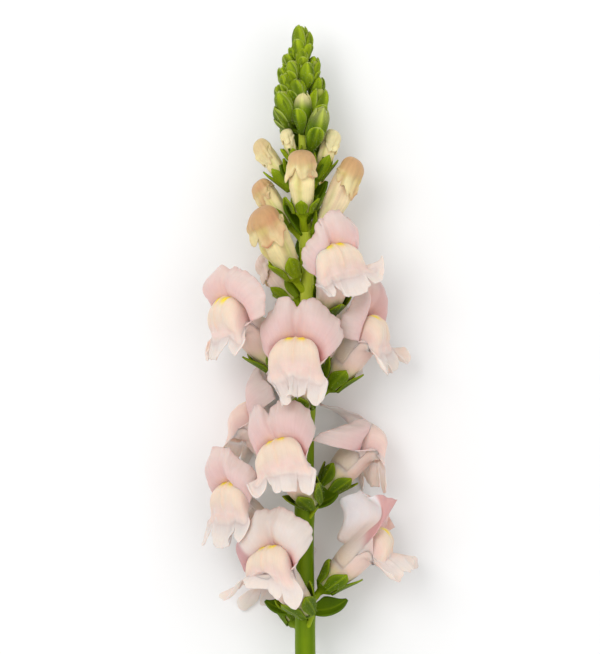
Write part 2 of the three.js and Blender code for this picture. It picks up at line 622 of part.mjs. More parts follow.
// Each piece's solid and material, in the plant's own place along its stem.
const pieces = {};
const greenPieces = [mainStem(), ...GREEN_BUDS.map(greenBud), ...BRACTS.map(bract)];
for (const [name, flower] of Object.entries(FLOWERS)) {
  pieces[name] = [corolla(flower), PINK];
  greenPieces.push(flowerCalyx(flower));
}
for (const [name, bud] of Object.entries(BUDS)) {
  pieces[name] = [budCorolla(bud), TAN];
  greenPieces.push(budCalyx(bud));
}
pieces.stem = [wholeBody(aboveSurface(join(greenPieces)).simplify(SLIVER)), GREEN];

// The origin goes to the middle of the plant's box, on the surface that it lies on.
const box = new THREE.Box3();
for (const [solid] of Object.values(pieces)) {
  const { min, max } = solid.boundingBox();
  box.expandByPoint(new THREE.Vector3(...min)).expandByPoint(new THREE.Vector3(...max));
}
const middle = box.getCenter(new THREE.Vector3());
const shift = [-middle.x, -middle.y, -box.min.z];

const plant = new THREE.Group();
for (const [name, [solid, material]] of Object.entries(pieces)) {
  plant.add(meshOf(name, solid.translate(shift), material));
}
plant.userData.shift = shift;

export default plant;
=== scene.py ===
"""The looks of a cut snapdragon stem: petals, hooded buds, sepals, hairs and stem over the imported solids.

The plant's lengths are in millimetres in its own place until mesh_object() turns them into metres in the
frame. The floor, the lamps and the camera are in metres.
"""

import math

import bpy
import numpy as np
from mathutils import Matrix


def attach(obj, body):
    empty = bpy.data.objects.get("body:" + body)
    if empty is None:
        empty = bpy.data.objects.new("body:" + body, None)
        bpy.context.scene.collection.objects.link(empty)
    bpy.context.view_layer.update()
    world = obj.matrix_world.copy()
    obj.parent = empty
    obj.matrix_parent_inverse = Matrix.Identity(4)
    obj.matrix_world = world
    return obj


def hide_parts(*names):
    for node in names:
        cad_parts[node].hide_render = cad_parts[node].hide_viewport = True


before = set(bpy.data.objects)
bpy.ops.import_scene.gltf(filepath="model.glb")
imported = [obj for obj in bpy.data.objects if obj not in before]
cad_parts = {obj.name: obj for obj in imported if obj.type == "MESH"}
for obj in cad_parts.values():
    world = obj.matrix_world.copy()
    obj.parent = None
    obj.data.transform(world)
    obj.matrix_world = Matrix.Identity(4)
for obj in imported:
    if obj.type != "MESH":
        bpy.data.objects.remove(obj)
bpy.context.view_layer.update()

MM = 0.001
PLANT_SHIFT = np.array([-1.9881, -84.2452, 21.0])  # from the plant's own place to the frame

# The stem: heights run along it, and its sideways place and radius are given at even steps of height.
CUT_END = -70.0
TIP = 242.0
SURFACE_DEPTH = -21.0  # the surface that the plant lies on, below the stem's line
STEM_SIDEWAYS = [1.0, 0.5, 0.1, -0.4, 0.5, 1.2, 0.2, -0.9, -1.9]
STEM_RADIUS = [4.2, 4.1, 3.9, 3.8, 3.1, 2.75, 2.3, 1.7, 0.5]
SAG_START = 20.0  # below this height the bare stem sags to the surface
SAG_POWER = 1.9

PETAL_THICKNESS = 0.42
SEPAL_THICKNESS = 0.5

# The tube of an open corolla: its radii to the top, the bottom and the sides at even steps of its length.
TUBE_TILT = math.radians(45)
TUBE_DORSAL = [3.2, 4.6, 5.4, 6.1, 6.5]
TUBE_VENTRAL = [3.2, 4.8, 6.0, 6.3, 6.4]
TUBE_LATERAL = [3.2, 5.0, 5.6, 6.3, 6.8]
TUBE_LENGTH = 19.0
TUBE_LOWER_EXTRA = 5.0  # how much longer its lower side is
TUBE_MOUTH = 0.93  # share of the tube's length where the lips begin

# Ribs of the upper lip from its middle to its side, each from the tube to the margin: out, side, up.
UPPER_LIP = [
    [[8.2, 0, 16.7], [14, 0, 24], [17, 0, 29], [17.5, 0, 34.5], [15, 0, 39.5]],
    [[8.5, 2.4, 16.4], [14.3, 3.4, 24], [18.8, 4.4, 29.5], [19.4, 5.4, 35.5], [15, 5.8, 42]],
    [[9.3, 4.5, 15.6], [15, 6.6, 23], [19, 8.8, 28.5], [18.2, 11, 34.5], [13, 11.6, 39.6]],
    [[10.8, 5.9, 14.2], [15.8, 9, 20.6], [18, 12, 25], [16, 14.8, 29.5], [11, 15.8, 34]],
    [[12.6, 6.3, 12.6], [15.6, 9.6, 16.6], [16, 12.8, 19.4], [14, 15, 22.4], [10.6, 16, 26.4]],
]

# Ribs of the palate and lower lip from the middle to the side, each as throat, crest, two points of the
# front, waist, lobe and margin.
LOWER_LIP = [
    [[12, 0, 20], [17, 0, 25.4], [22, 0, 23.6], [23.6, 0, 19.5], [22.8, 0, 15], [24.8, 0, 9.5], [26, 0, 3]],
    [[12, 2.8, 19.8], [17, 3.2, 26.6], [22.7, 3.6, 24.6], [24.6, 3.9, 20], [23.2, 3.8, 15],
     [25, 4, 9.5], [26.2, 4.3, 3]],
    [[12.3, 4.6, 18.5], [17, 5.8, 25], [22.3, 6.8, 22.8], [24, 7.2, 18.5], [22.2, 7.1, 14.2],
     [23.6, 7.3, 9.5], [24.6, 7.3, 4]],
    [[12.8, 6, 16.5], [16.8, 7.8, 21.8], [21, 9.3, 20], [22.3, 9.6, 16.8], [21.2, 10, 12.8],
     [23.6, 12, 7], [25, 12.6, 1]],
    [[12.6, 6.3, 12.6], [16, 8.4, 16.3], [18.5, 9.4, 15.5], [19.3, 10, 14], [19.8, 11.6, 11.8],
     [21.6, 14.6, 8.5], [22.6, 16, 4]],
]
WAIST_ROW = 4
HINGE = 12.6  # how far out and up the corners of the mouth are, about which the jaw opens
PALATE_CORE = np.array([16.5, 0.0, 16.5])
PALATE_CORE_SIDE = 0.4
PALATE_DEPTH = [0.6, 0.75, 0.8, 0.75, 0.4]  # share of the way to the core, row by row

AT_REST = [[0, 0, 0]] * 5
SHIFT_PLACES = [-1, -0.5, 0, 0.5, 1]  # how far across the lip each of the five shifts stands

# The open flowers: place, and how the margins of the two lips stand from the left corner to the right one.
# cleft and lobed weaken the clefts of the upper and the lower lip, band paints one side of the upper lip a
# darker mauve, partly its deeper pink and partly painted shade along a fold, as (side, where it starts,
# strength), pale whitens the upper lip, and blush turns the palate pink.
FLOWERS = {
    "flower_1": dict(
        height=130.3, azimuth=75, facing=25, reach=7.5, roll=14, cleft=0.3,
        upper=[[0, -7, -6], [0, -6, -9], [0, 0, -3], [1, -2, -5], [7, -8, 2]],
        lower=[[-2, -8, 9], [0, -3, 5], [0, 0, 4], [0, 0, 4], [-1, -1, 14]],
    ),
    "flower_2": dict(
        height=108.3, azimuth=-72, facing=-65, reach=10.6, pitch=-5, size=1.12, jaw=25, cleft=0.3,
        upper=[[12, -6, -3], [11, -3.6, -11], [7, 0, -7], [5, -0.6, -10], [3.6, -1, -9]],
        lower=[[4, -4, 6], [4, 0, 4], [4, 0, 4], [4, -1, 6], [3.5, -4, 7]],
    ),
    "flower_3": dict(
        height=94.5, azimuth=-10, reach=6.3,
        upper=[[1, -2.4, 0], [1, -1.4, -2.6], [0, 0, 0], [0, 0, -2.6], [0, 0, 0]],
        lower=[[0, -12, 1], [0, -7, 0], [2, 0, 3], [0, -3, 0], [0, -6, 1]],
    ),
    "flower_4": dict(
        height=101.7, azimuth=78, reach=8.4, pitch=-8, jaw=14, bend=1.6, band=(1, 0.15, 0.5),
        upper=[[-2, -7, -8], [1, -6, -10], [5, 0, -1], [10, -3, -6], [12, -4, 0]],
        lower=[[4, -4, 4], [2, -1, 3], [2, 0, 3], [5, 0, 6], [8, 0, 8]],
    ),
    "flower_5": dict(
        height=68.6, azimuth=-112, reach=6.3, pitch=-4, blush=0.8,
        upper=[[0, 0, 0], [0, 0, 0], [0, 0, 0], [-4, -2, -4], [-8, -3, 2]],
    ),
    "flower_6": dict(
        height=57.5, azimuth=25, facing=-20, reach=7.2, roll=18,
        upper=[[0, -6, 3], [1, -5, 0], [3.4, 0, -2], [2.4, -1, -2], [0, -3.5, 0]],
        lower=[[0, -3, 8], [0, -2, 5], [3, 0, 4], [0, -3, 1], [0, -6, 2]],
    ),
    "flower_7": dict(
        height=44.5, azimuth=-108, facing=-50, reach=12.2, pitch=10, size=0.95, cleft=0,
        upper=[[3, -3, -2], [4, -1, -5], [4, 0, 0.5], [3, -5, -5], [2, -7, -3]],
        lower=[[0, -3, 2], [0, 0, 0], [0, 0, -1], [0, -3, 2], [0, -5, 4]],
    ),
    "flower_8": dict(
        height=16.2, azimuth=8, facing=-40, reach=7.3, roll=8, cleft=0.5, band=(-1, 0.5, 1), pale=0.7,
        lobed=0.4,
        upper=[[9, -4, -5], [7, -3, -6], [0, 0, 1], [0, -1, -4], [0, -1, 0]],
        lower=[[2, 3, 6], [0, 1, 9], [-2, 0, 8], [0, 0, 1], [-1, -1, 1]],
    ),
    "flower_9": dict(
        height=61.6, azimuth=112, reach=7.6, bend=1.2, blush=0.9,
        upper=[[-20.6, -2, -6.7], [-10.7, -0.6, -14.5], [5, 0, -15], [-10.6, -2.6, -6.2], [4.5, -4, 1.6]],
        lower=[[-6, 0, 0], [-6, 0, 0], [-4, 0, 0], [-4, 0, 0], [-2, 0, 0]],
    ),
    "flower_10": dict(
        height=25, azimuth=86, reach=7.4, jaw=24, bend=0.1, curl=2, band=(-1, 0.6, 1),
        upper=[[18, -5, 8], [5, 0, -4], [-9.5, 0, -6], [8, 0, -7], [16, -2, -4]],
        lower=[[8, -2, 6], [11, 0, 7], [12, 0, 10], [14, 0, 11], [16, -2, 11]],
    ),
    "flower_11": dict(height=101, azimuth=165, reach=7, pitch=-12, size=0.85),
    "flower_12": dict(
        height=11, azimuth=-150, facing=-155, reach=6.8, pitch=-12, size=0.85,
        upper=[[0, -6, -3], [0, -4, -2], [0, 0, -2], [0, -4, -2], [0, -6, -3]],
    ),
}

# The half-open buds. ripe runs from 0, a small green-yellow bud, to 1, one about to open. sepals is their
# length, and blush turns the corolla pink.
BUDS = {
    "bud_1": dict(height=167.5, azimuth=-8, reach=6.4, pitch=10, length=24, width=11.4, ripe=0.8, sepals=5),
    "bud_2": dict(height=143.5, azimuth=-55, reach=6, pitch=31, length=30, width=13.5, ripe=1.0),
    "bud_3": dict(height=158.8, azimuth=78, reach=4.5, pitch=26, length=33, width=10.6, ripe=0.9, blush=0.35),
    "bud_4": dict(height=163, azimuth=-98, reach=5.8, pitch=36, length=21, width=9, ripe=0.8),
    "bud_5": dict(height=177, azimuth=-98, reach=4.4, pitch=36, length=23, width=7, ripe=0.4, sepals=10),
    "bud_6": dict(height=187, azimuth=-64, reach=3.8, pitch=16, length=13, width=4.8, ripe=0.1, sepals=5),
    "bud_7": dict(height=180.5, azimuth=86, reach=4.4, pitch=20, length=20, width=7, ripe=0.1, sepals=9),
    "bud_8": dict(height=134, azimuth=-125, reach=5, pitch=42, length=24, width=10, ripe=1.0, blush=0.9),
    "bud_9": dict(height=142, azimuth=152, reach=5, pitch=22, length=28, width=11, ripe=0.9),
    "bud_10": dict(height=168, azimuth=168, reach=4.6, pitch=20, length=22, width=9, ripe=0.6),
}
BUD_SHARES = [0, 0.18, 0.4, 0.66, 0.86, 1]  # of its length, where the shares of its half width below hold
BUD_SIDE = [0.44, 0.7, 0.84, 0.88, 0.78, 0.28]
BUD_FRONT = [0.42, 0.74, 0.95, 0.95, 0.82, 0.28]
BUD_BACK = [0.42, 0.6, 0.7, 0.79, 0.74, 0.26]

# The green buds of the tip: height, azimuth, reach, pitch, length, width, and how pale the tip is.
GREEN_BUDS = [
    (202.5, -60, 4.6, 22, 13, 8), (202.8, 60, 4, 20, 13.5, 7.4), (198.7, 0, 4.2, 4, 15, 7.4, 0.75),
    (199.5, -98, 4.4, 24, 11.5, 8), (192, 36, 4.6, 27, 18, 7.6, 0.2), (212.4, -68, 4, 20, 9.5, 5.8),
    (209, -22, 3.6, 8, 10, 6.4), (215, 25, 2.6, 10, 10.5, 6), (217.5, 80, 3, 18, 9, 5),
    (210.5, 92, 3.6, 20, 10, 6), (217, -45, 2.8, 14, 9.5, 5.6), (222, 5, 2, 4, 9, 4.8),
    (225, -80, 2, 14, 6.5, 4), (225.5, -20, 0.6, 0, 14.2, 6.4), (225.5, 60, 1.4, 4, 12, 5.4),
    (188, 152, 4, 26, 15, 8), (192, -140, 4, 26, 13, 8), (204, -175, 3.8, 22, 12, 7),
    (215.5, -88, 4.2, 24, 9, 5.6), (221.5, -80, 3.2, 20, 7.5, 4.8), (208.5, -100, 5, 26, 9.5, 6),
    (220.5, 100, 3, 20, 7.5, 4.6), (205, 110, 4.6, 24, 10, 6),
]

# The bracts: height, azimuth, length, width, spread, twist.
BRACTS = [
    (16.5, 84, 14, 8, 75, 60), (17, -80, 13, 7, 78, -60), (57.5, 64, 12, 8, 75, 55),
    (99, -84, 8, 6, 50, -40), (176, -74, 13, 8, 40, -50), (183, -52, 11, 7, 34, -40),
    (178, 62, 13, 8, 34, 50), (169, 72, 13, 8, 34, 50), (160, -62, 13, 8, 36, -45),
    (164, 42, 12, 7, 28, 30), (186, 95, 12, 7, 38, 60), (172, 150, 12, 7, 30, 0),
    (181, -150, 11, 7, 30, 0), (150, -170, 12, 7, 30, 0),
]
BRACT_OUTLINE = [0.55, 1.0, 0.8, 0.12]
BRACT_LEAN = [1.3, 0.6]  # of its spread, at its foot and at its tip


# Curves and places.
def knots(t, count):
    """Where each t from 0 to 1 falls among count even values, and the weights of the four nearest."""
    place = np.clip(np.asarray(t, float), 0, 1) * (count - 1)
    i = np.minimum(place.astype(int), count - 2)
    f = place - i
    weights = [
        0.5 * f * (f * (2 - f) - 1),
        1 + 0.5 * f**2 * (3 * f - 5),
        0.5 * f * (1 + f * (4 - 3 * f)),
        0.5 * f**2 * (f - 1),
    ]
    return i, weights


def through(values, t):
    """A smooth curve through evenly spaced values along the first axis, at each t from 0 to 1."""
    values = np.asarray(values, float)
    ends = np.concatenate([[2 * values[0] - values[1]], values, [2 * values[-1] - values[-2]]])
    i, weights = knots(t, len(values))
    return sum(w.reshape(w.shape + (1,) * (values.ndim - 1)) * ends[i + k] for k, w in enumerate(weights))


def sheet_points(net, u, v):
    """Points of the smooth sheet through a net, at pairs of u across it and v along it, 0 to 1."""
    net = np.concatenate([2 * net[:1] - net[1:2], net, 2 * net[-1:] - net[-2:-1]])
    net = np.concatenate([2 * net[:, :1] - net[:, 1:2], net, 2 * net[:, -1:] - net[:, -2:-1]], axis=1)
    iu, wu = knots(u, net.shape[0] - 2)
    iv, wv = knots(v, net.shape[1] - 2)
    total = 0
    for a in range(4):
        for b in range(4):
            total = total + (wu[a] * wv[b])[..., None] * net[iu + a, iv + b]
    return total


def rise(x, low, high):
    """0 below low, 1 above high, and a smooth step between them."""
    t = np.clip((np.asarray(x, float) - low) / (high - low), 0, 1)
    return t * t * (3 - 2 * t)


def bump(x, middle, width):
    """A hump of height 1 at middle that fades out over width."""
    return np.exp(-(((np.asarray(x, float) - middle) / width) ** 2))


def grid(columns, rows, first=0.0):
    """How far across, -1 to 1, and how far along, first to 1, each point of an even grid is."""
    return np.meshgrid(np.linspace(-1, 1, columns), np.linspace(first, 1, rows), indexing="ij")


def unit(vectors):
    return vectors / np.linalg.norm(vectors, axis=-1, keepdims=True)


def cos_sin(degrees):
    return math.cos(math.radians(degrees)), math.sin(math.radians(degrees))


def outward(azimuth):
    """The way out of the stem at an azimuth, which is 0 up from the surface and 90 to the right."""
    c, s = cos_sin(azimuth)
    return np.array([s, 0, c])


def turns(count):
    """The angles of a ring of count points."""
    return np.arange(count) * 2 * math.pi / count


def on_map(A, V):
    """The place on the mesh's map of points that lie A across and V along."""
    return np.stack([A * 0.5 + 0.5, V], axis=-1)


def stem_point(height):
    t = (np.asarray(height, float) - CUT_END) / (TIP - CUT_END)
    drop = SURFACE_DEPTH + STEM_RADIUS[0]
    sag = np.maximum(0, (SAG_START - height) / (SAG_START - CUT_END)) ** SAG_POWER
    return np.stack([through(STEM_SIDEWAYS, t), height + 0 * t, drop * sag], axis=-1)


def stem_radius(height):
    return through(STEM_RADIUS, (np.asarray(height, float) - CUT_END) / (TIP - CUT_END))


STALK_SLOPE = 0.8
STALK_DROP = 2.5


def stalk_height(item):
    """How high on the stem the stalk of a flower or bud leaves it."""
    return item["height"] - item["reach"] * STALK_SLOPE - STALK_DROP


UP = np.array([0.0, 1.0, 0.0])


def placer(height, azimuth, reach, facing=None, pitch=0, roll=0, size=1, **shape):
    """Turns points of (out, side, up) in a flower's own frame into points in the plant's place."""
    facing = azimuth if facing is None else facing
    out = outward(facing)
    side = np.cross(UP, out)
    base = stem_point(float(height)) + outward(azimuth) * reach
    cp, sp = cos_sin(pitch)
    cr, sr = cos_sin(roll)

    def place(points):
        r, l, h = (np.asarray(points, float)[..., k] * size for k in range(3))
        rolled_side = l * cr - h * sr
        rolled_up = h * cr + l * sr
        return (
            base
            + out * (r * cp + rolled_up * sp)[..., None]
            + side * rolled_side[..., None]
            + UP * (rolled_up * cp - r * sp)[..., None]
        )

    return place


PRESS_SOFTNESS = 0.5


def pressed(points, clearance=0.25):
    """Petals that would reach below the surface lie flat along it."""
    floor = SURFACE_DEPTH + clearance
    points = points.copy()
    above = (points[..., 2] - floor) / PRESS_SOFTNESS
    points[..., 2] = floor + PRESS_SOFTNESS * np.logaddexp(0, above)
    return points


def waves(x, rng, counts, strengths):
    """A sum of waves along x with random phases."""
    total = np.zeros_like(np.asarray(x, float))
    for count, strength in zip(counts, strengths):
        total = total + strength * np.sin(2 * math.pi * (count * x + rng.random()))
    return total


def cloudy(x, rng, counts, strengths):
    """Such waves brought between 0 and 1."""
    return np.clip(0.5 + 0.5 * waves(x, rng, counts, strengths), 0, 1)


# Meshes. A patch is (points, faces, tints, uvs).
def normals_of(sheet):
    along = np.gradient(sheet, axis=1)
    across = np.gradient(sheet, axis=0)
    normal = np.cross(across, along)
    return normal / np.maximum(np.linalg.norm(normal, axis=-1, keepdims=True), 1e-9)


def grid_faces(columns, rows, start=0, flip=False, wrap=False):
    i, j = np.meshgrid(np.arange(columns if wrap else columns - 1), np.arange(rows - 1), indexing="ij")
    a = i * rows + j
    b = ((i + 1) % columns) * rows + j
    quads = np.stack([a, b, b + 1, a + 1], axis=-1).reshape(-1, 4) + start
    return quads[:, ::-1] if flip else quads


def thick_sheet(front, back, tint_front, tint_back, uv):
    """A closed patch between two grids of points."""
    columns, rows = front.shape[:2]
    half = columns * rows
    faces = [grid_faces(columns, rows), grid_faces(columns, rows, half, flip=True)]
    edge = np.concatenate([
        np.arange(columns) * rows,
        (columns - 1) * rows + np.arange(1, rows),
        np.arange(columns - 2, -1, -1) * rows + rows - 1,
        np.arange(rows - 2, 0, -1),
    ])
    nxt = np.roll(edge, -1)
    faces.append(np.stack([edge, edge + half, nxt + half, nxt], axis=-1))
    points = np.concatenate([front.reshape(-1, 3), back.reshape(-1, 3)])
    tints = np.concatenate([tint_front.reshape(-1, 3), tint_back.reshape(-1, 3)])
    uvs = np.concatenate([uv.reshape(-1, 2), uv.reshape(-1, 2)])
    return points, np.concatenate(faces), tints, uvs


def even_sheet(middle, thickness, tint_front, tint_back, uv):
    """A closed patch of a given thickness, a number or one value for each point, round a grid of points."""
    offset = normals_of(middle) * (np.asarray(thickness) / 2)[..., None]
    return thick_sheet(middle + offset, middle - offset, tint_front, tint_back, uv)


def closed_tube(rings, tint, uv):
    """A patch through rings of points, rings[angle, ring], with a fan of triangles at both ends.

    A triangle is written as a quad that names one corner twice, which mesh_object() leaves out.
    """
    columns, rows = rings.shape[:2]
    points = [rings.reshape(-1, 3), rings[:, 0].mean(axis=0)[None], rings[:, -1].mean(axis=0)[None]]
    faces = [grid_faces(columns, rows, wrap=True)]
    here = np.arange(columns)
    there = (here + 1) % columns
    first = np.full(columns, columns * rows)
    last = first + 1
    faces.append(np.stack([here * rows, first, first, there * rows], axis=-1))
    faces.append(np.stack([here * rows + rows - 1, there * rows + rows - 1, last, last], axis=-1))
    tints = [tint.reshape(-1, 3), tint[:, 0].mean(axis=0)[None], tint[:, -1].mean(axis=0)[None]]
    uvs = [uv.reshape(-1, 2), uv[0, 0][None], uv[0, -1][None]]
    return np.concatenate(points), np.concatenate(faces), np.concatenate(tints), np.concatenate(uvs)


def put(name, data):
    """A new object with this data, in the scene."""
    obj = bpy.data.objects.new(name, data)
    bpy.context.scene.collection.objects.link(obj)
    return obj


def mesh_object(name, patches, material):
    """One object from patches, in metres in the frame."""
    points, faces, tints, uvs = zip(*patches)
    starts = np.cumsum([0] + [len(part) for part in points[:-1]])
    faces = np.concatenate([part + start for part, start in zip(faces, starts)])
    points = (np.concatenate(points) + PLANT_SHIFT) * MM
    tints = np.concatenate(tints)
    uvs = np.concatenate(uvs)
    polygons = [tuple(dict.fromkeys(face)) for face in faces.tolist()]
    mesh = bpy.data.meshes.new(name)
    mesh.from_pydata(points.tolist(), [], polygons)
    mesh.update()
    colour = mesh.color_attributes.new("tint", "FLOAT_COLOR", "POINT")
    colour.data.foreach_set("color", np.column_stack([tints, np.ones(len(tints))]).ravel())
    layer = mesh.uv_layers.new(name="lie")
    corner = np.empty(len(mesh.loops), int)
    mesh.loops.foreach_get("vertex_index", corner)
    layer.data.foreach_set("uv", uvs[corner].ravel())
    mesh.polygons.foreach_set("use_smooth", np.ones(len(mesh.polygons), bool))
    mesh.materials.append(material)
    return put(name, mesh)


# Colours, as seen on a screen, turned into the light they stand for.
def light(*rgb):
    c = np.array(rgb, float) / 255
    return np.where(c <= 0.04045, c / 12.92, ((c + 0.055) / 1.055) ** 2.4)


def blend(a, b, t):
    t = np.asarray(t, float)[..., None]
    return a * (1 - t) + b * t


def layered(base, *layers):
    """A tint with others laid over it in turn, each given as (tint, how strongly)."""
    for tint, strength in layers:
        base = blend(base, tint, strength)
    return base


PINK = light(228, 186, 182)
DEEP_PINK = light(202, 136, 138)
PALE_PINK = light(228, 202, 192)
WHITISH = light(230, 214, 204)
LILAC_WHITE = light(240, 228, 228)
MAUVE = light(198, 152, 152)
CREAM = light(228, 208, 186)
PALE_CREAM = light(222, 200, 183)
YELLOW = light(240, 214, 20)
TUBE_CREAM = light(226, 194, 170)
TUBE_GREEN = light(208, 202, 140)
BUD_CREAM = light(238, 222, 166)
BUD_GREEN = light(204, 206, 104)
TAN = light(212, 170, 118)
DEEP_TAN = light(184, 126, 84)
RED_BROWN = light(176, 84, 66)
LEAF = light(92, 120, 0)
DARK_LEAF = light(50, 72, 2)
YOUNG_LEAF = light(160, 180, 24)
PALE_RIM = light(196, 206, 120)
HAIR = light(214, 222, 176)
STEM_LOW = light(92, 120, 0)
STEM_HIGH = light(188, 200, 66)


# The corolla of an open flower.
def tube_points(share, angle, clearance=0.0):
    """Points on the tube, by share of its length and angle from its top, in the flower's frame."""
    lower = np.maximum(0, -np.cos(angle))
    along = share * (TUBE_LENGTH + TUBE_LOWER_EXTRA * lower**1.5)
    half = rise(np.cos(angle), -0.35, 0.35)
    raised = half * through(TUBE_DORSAL, share) + (1 - half) * through(TUBE_VENTRAL, share)
    w = (raised + clearance) * np.cos(angle)
    l = (through(TUBE_LATERAL, share) + clearance) * np.sin(angle)
    c, s = math.cos(TUBE_TILT), math.sin(TUBE_TILT)
    return np.stack([along * s - w * c, l, along * c + w * s], axis=-1)


def lip_net(ribs, start, shifts, jaw=0, bend=0.4, curl=1):
    """The net of a lip's control points, opened by jaw degrees and with its margin moved by the shifts."""
    net = []
    sides = len(ribs) - 1
    rows = len(ribs[0]) - 1
    shifts = np.array(shifts, float)
    c, s = cos_sin(jaw)
    for k in range(-sides, sides + 1):
        across = k / sides
        moved = [np.interp(across, SHIFT_PLACES, shifts[:, axis]) for axis in range(3)]
        rib = []
        for row, (r, l, h) in enumerate(ribs[abs(k)]):
            if row:
                ahead, above = r - HINGE, h - HINGE
                r = HINGE + ahead * c + above * s
                h = HINGE + above * c - ahead * s
            free = max(0, (row - start) / (rows - start)) ** (bend + (curl - bend) * abs(across))
            side = math.copysign(max(l + free * moved[1], 0), across) if k else 0
            rib.append([r + free * moved[0], side, h + free * moved[2]])
        net.append(rib)
    return np.array(net)


UPPER_COLUMNS = 73
UPPER_ROWS = 34
# Where the upper lip runs down the tube: share of the tube's length, and how far out of its wall.
UPPER_NECK = [(0.5, -0.7), (0.56, -0.32), (0.63, -0.22), (0.72, -0.2), (0.82, -0.15)]
TUBE_COLUMNS = 64
TUBE_ROWS = 14
FLANK_SHARE = 0.4  # share of each lower quarter of the tube that ends at the palate's flank


def upper_lip(flower, rng):
    """The two upper lobes, which run on from the top of the tube."""
    bends = {key: flower[key] for key in ("bend", "curl") if key in flower}
    net = lip_net(UPPER_LIP, 0, flower.get("upper", AT_REST), **bends)
    A, V = grid(UPPER_COLUMNS, UPPER_ROWS)
    a, v = A[:, 0], V[0]
    sheet = sheet_points(net, (A + 1) / 2, V)
    # The cleft between the two lobes, and a margin that is never quite even.
    cleft = flower.get("cleft", 1)
    cut = 0.09 * cleft * bump(A, 0, 0.035) + 0.02 * waves(A, rng, [1.3, 3.1, 7.7], [1, 0.6, 0.35])
    reach = V * (1 - np.maximum(cut, -0.03))
    for i in range(len(a)):
        sheet[i] = through(sheet[i], reach[i])
    normal = normals_of(sheet)
    free = rise(V, 0.45, 1.0)
    ruffle = waves(A, rng, [0.8, 1.7, 3.9], [0.8, 0.5, 0.16]) * free
    crease = -1.1 * cleft * bump(A, 0, 0.08) * rise(V, 0.1, 0.5)
    crisp = 0.2 * waves(A / 2, rng, [9, 15, 23], [1, 0.8, 0.5]) * rise(V, 0.75, 1)
    sheet = sheet + normal * (ruffle + crease + crisp)[..., None]
    # Down the tube the lip sinks into the tube's wall.
    necks = []
    for share, sunk in UPPER_NECK:
        necks.append(tube_points(np.full_like(a, share), a * math.pi / 2, sunk)[:, None])
    joined = np.concatenate(necks + [sheet], axis=1)
    v = np.concatenate([np.linspace(-0.3, 0, len(necks), endpoint=False), v])
    A, V = np.meshgrid(a, v, indexing="ij")
    veins = 0.5 + 0.17 * waves(A + 0.02 * np.sin(V * 7), rng, [9, 14, 23], [1, 1, 1])
    low = 1 - rise(V, 0.6, 1)
    # band: one side of the lip turned a darker mauve, partly its deeper pink and partly painted shade along a
    # fold.
    hand, start, strength = flower.get("band", (1, 2, 0))
    band = strength * rise(A * hand, start, start + 0.1) * rise(V, 0.1, 0.3)
    # The inner face is deep pink at its root and pales towards the margin; the deep pink over the mouth is
    # painted shade where the lip curls over the palate.
    front = layered(
        DEEP_PINK,
        (PINK, rise(V, 0.1, 0.5)),
        (PALE_PINK, rise(V, 0.5, 1.0) * 0.7),
        (DEEP_PINK, 0.14 * veins * low),
        (WHITISH, flower.get("pale", 0) * rise(V, 0.25, 0.6)),
        (DEEP_PINK, 0.3 * rise(V, 0.9, 1.0)),
        (MAUVE, band),
    )
    back = layered(
        TUBE_CREAM,
        (PALE_PINK, rise(V, -0.2, 0.2)),
        (LILAC_WHITE, rise(V, 0.2, 0.7)),
        (PINK, 0.16 * veins * low),
        (MAUVE, band),
    )
    return joined, front, back, on_map(A, V)


CLEFT = 0.5  # how far across the clefts between the lower lobes are
LOBE_GROWTH = 0.25  # how much longer than in the solids the last stretch of each lobe is
LOBE_SPREAD = 0.2  # and how much further to the side it ends
LIP_COLUMNS = 101
LIP_ROWS = [26, 28]  # above the waist and from there down
LIP_DEPTH = PALATE_DEPTH + [0.06, 0.0]  # how far the back is sunk towards the core, row by row


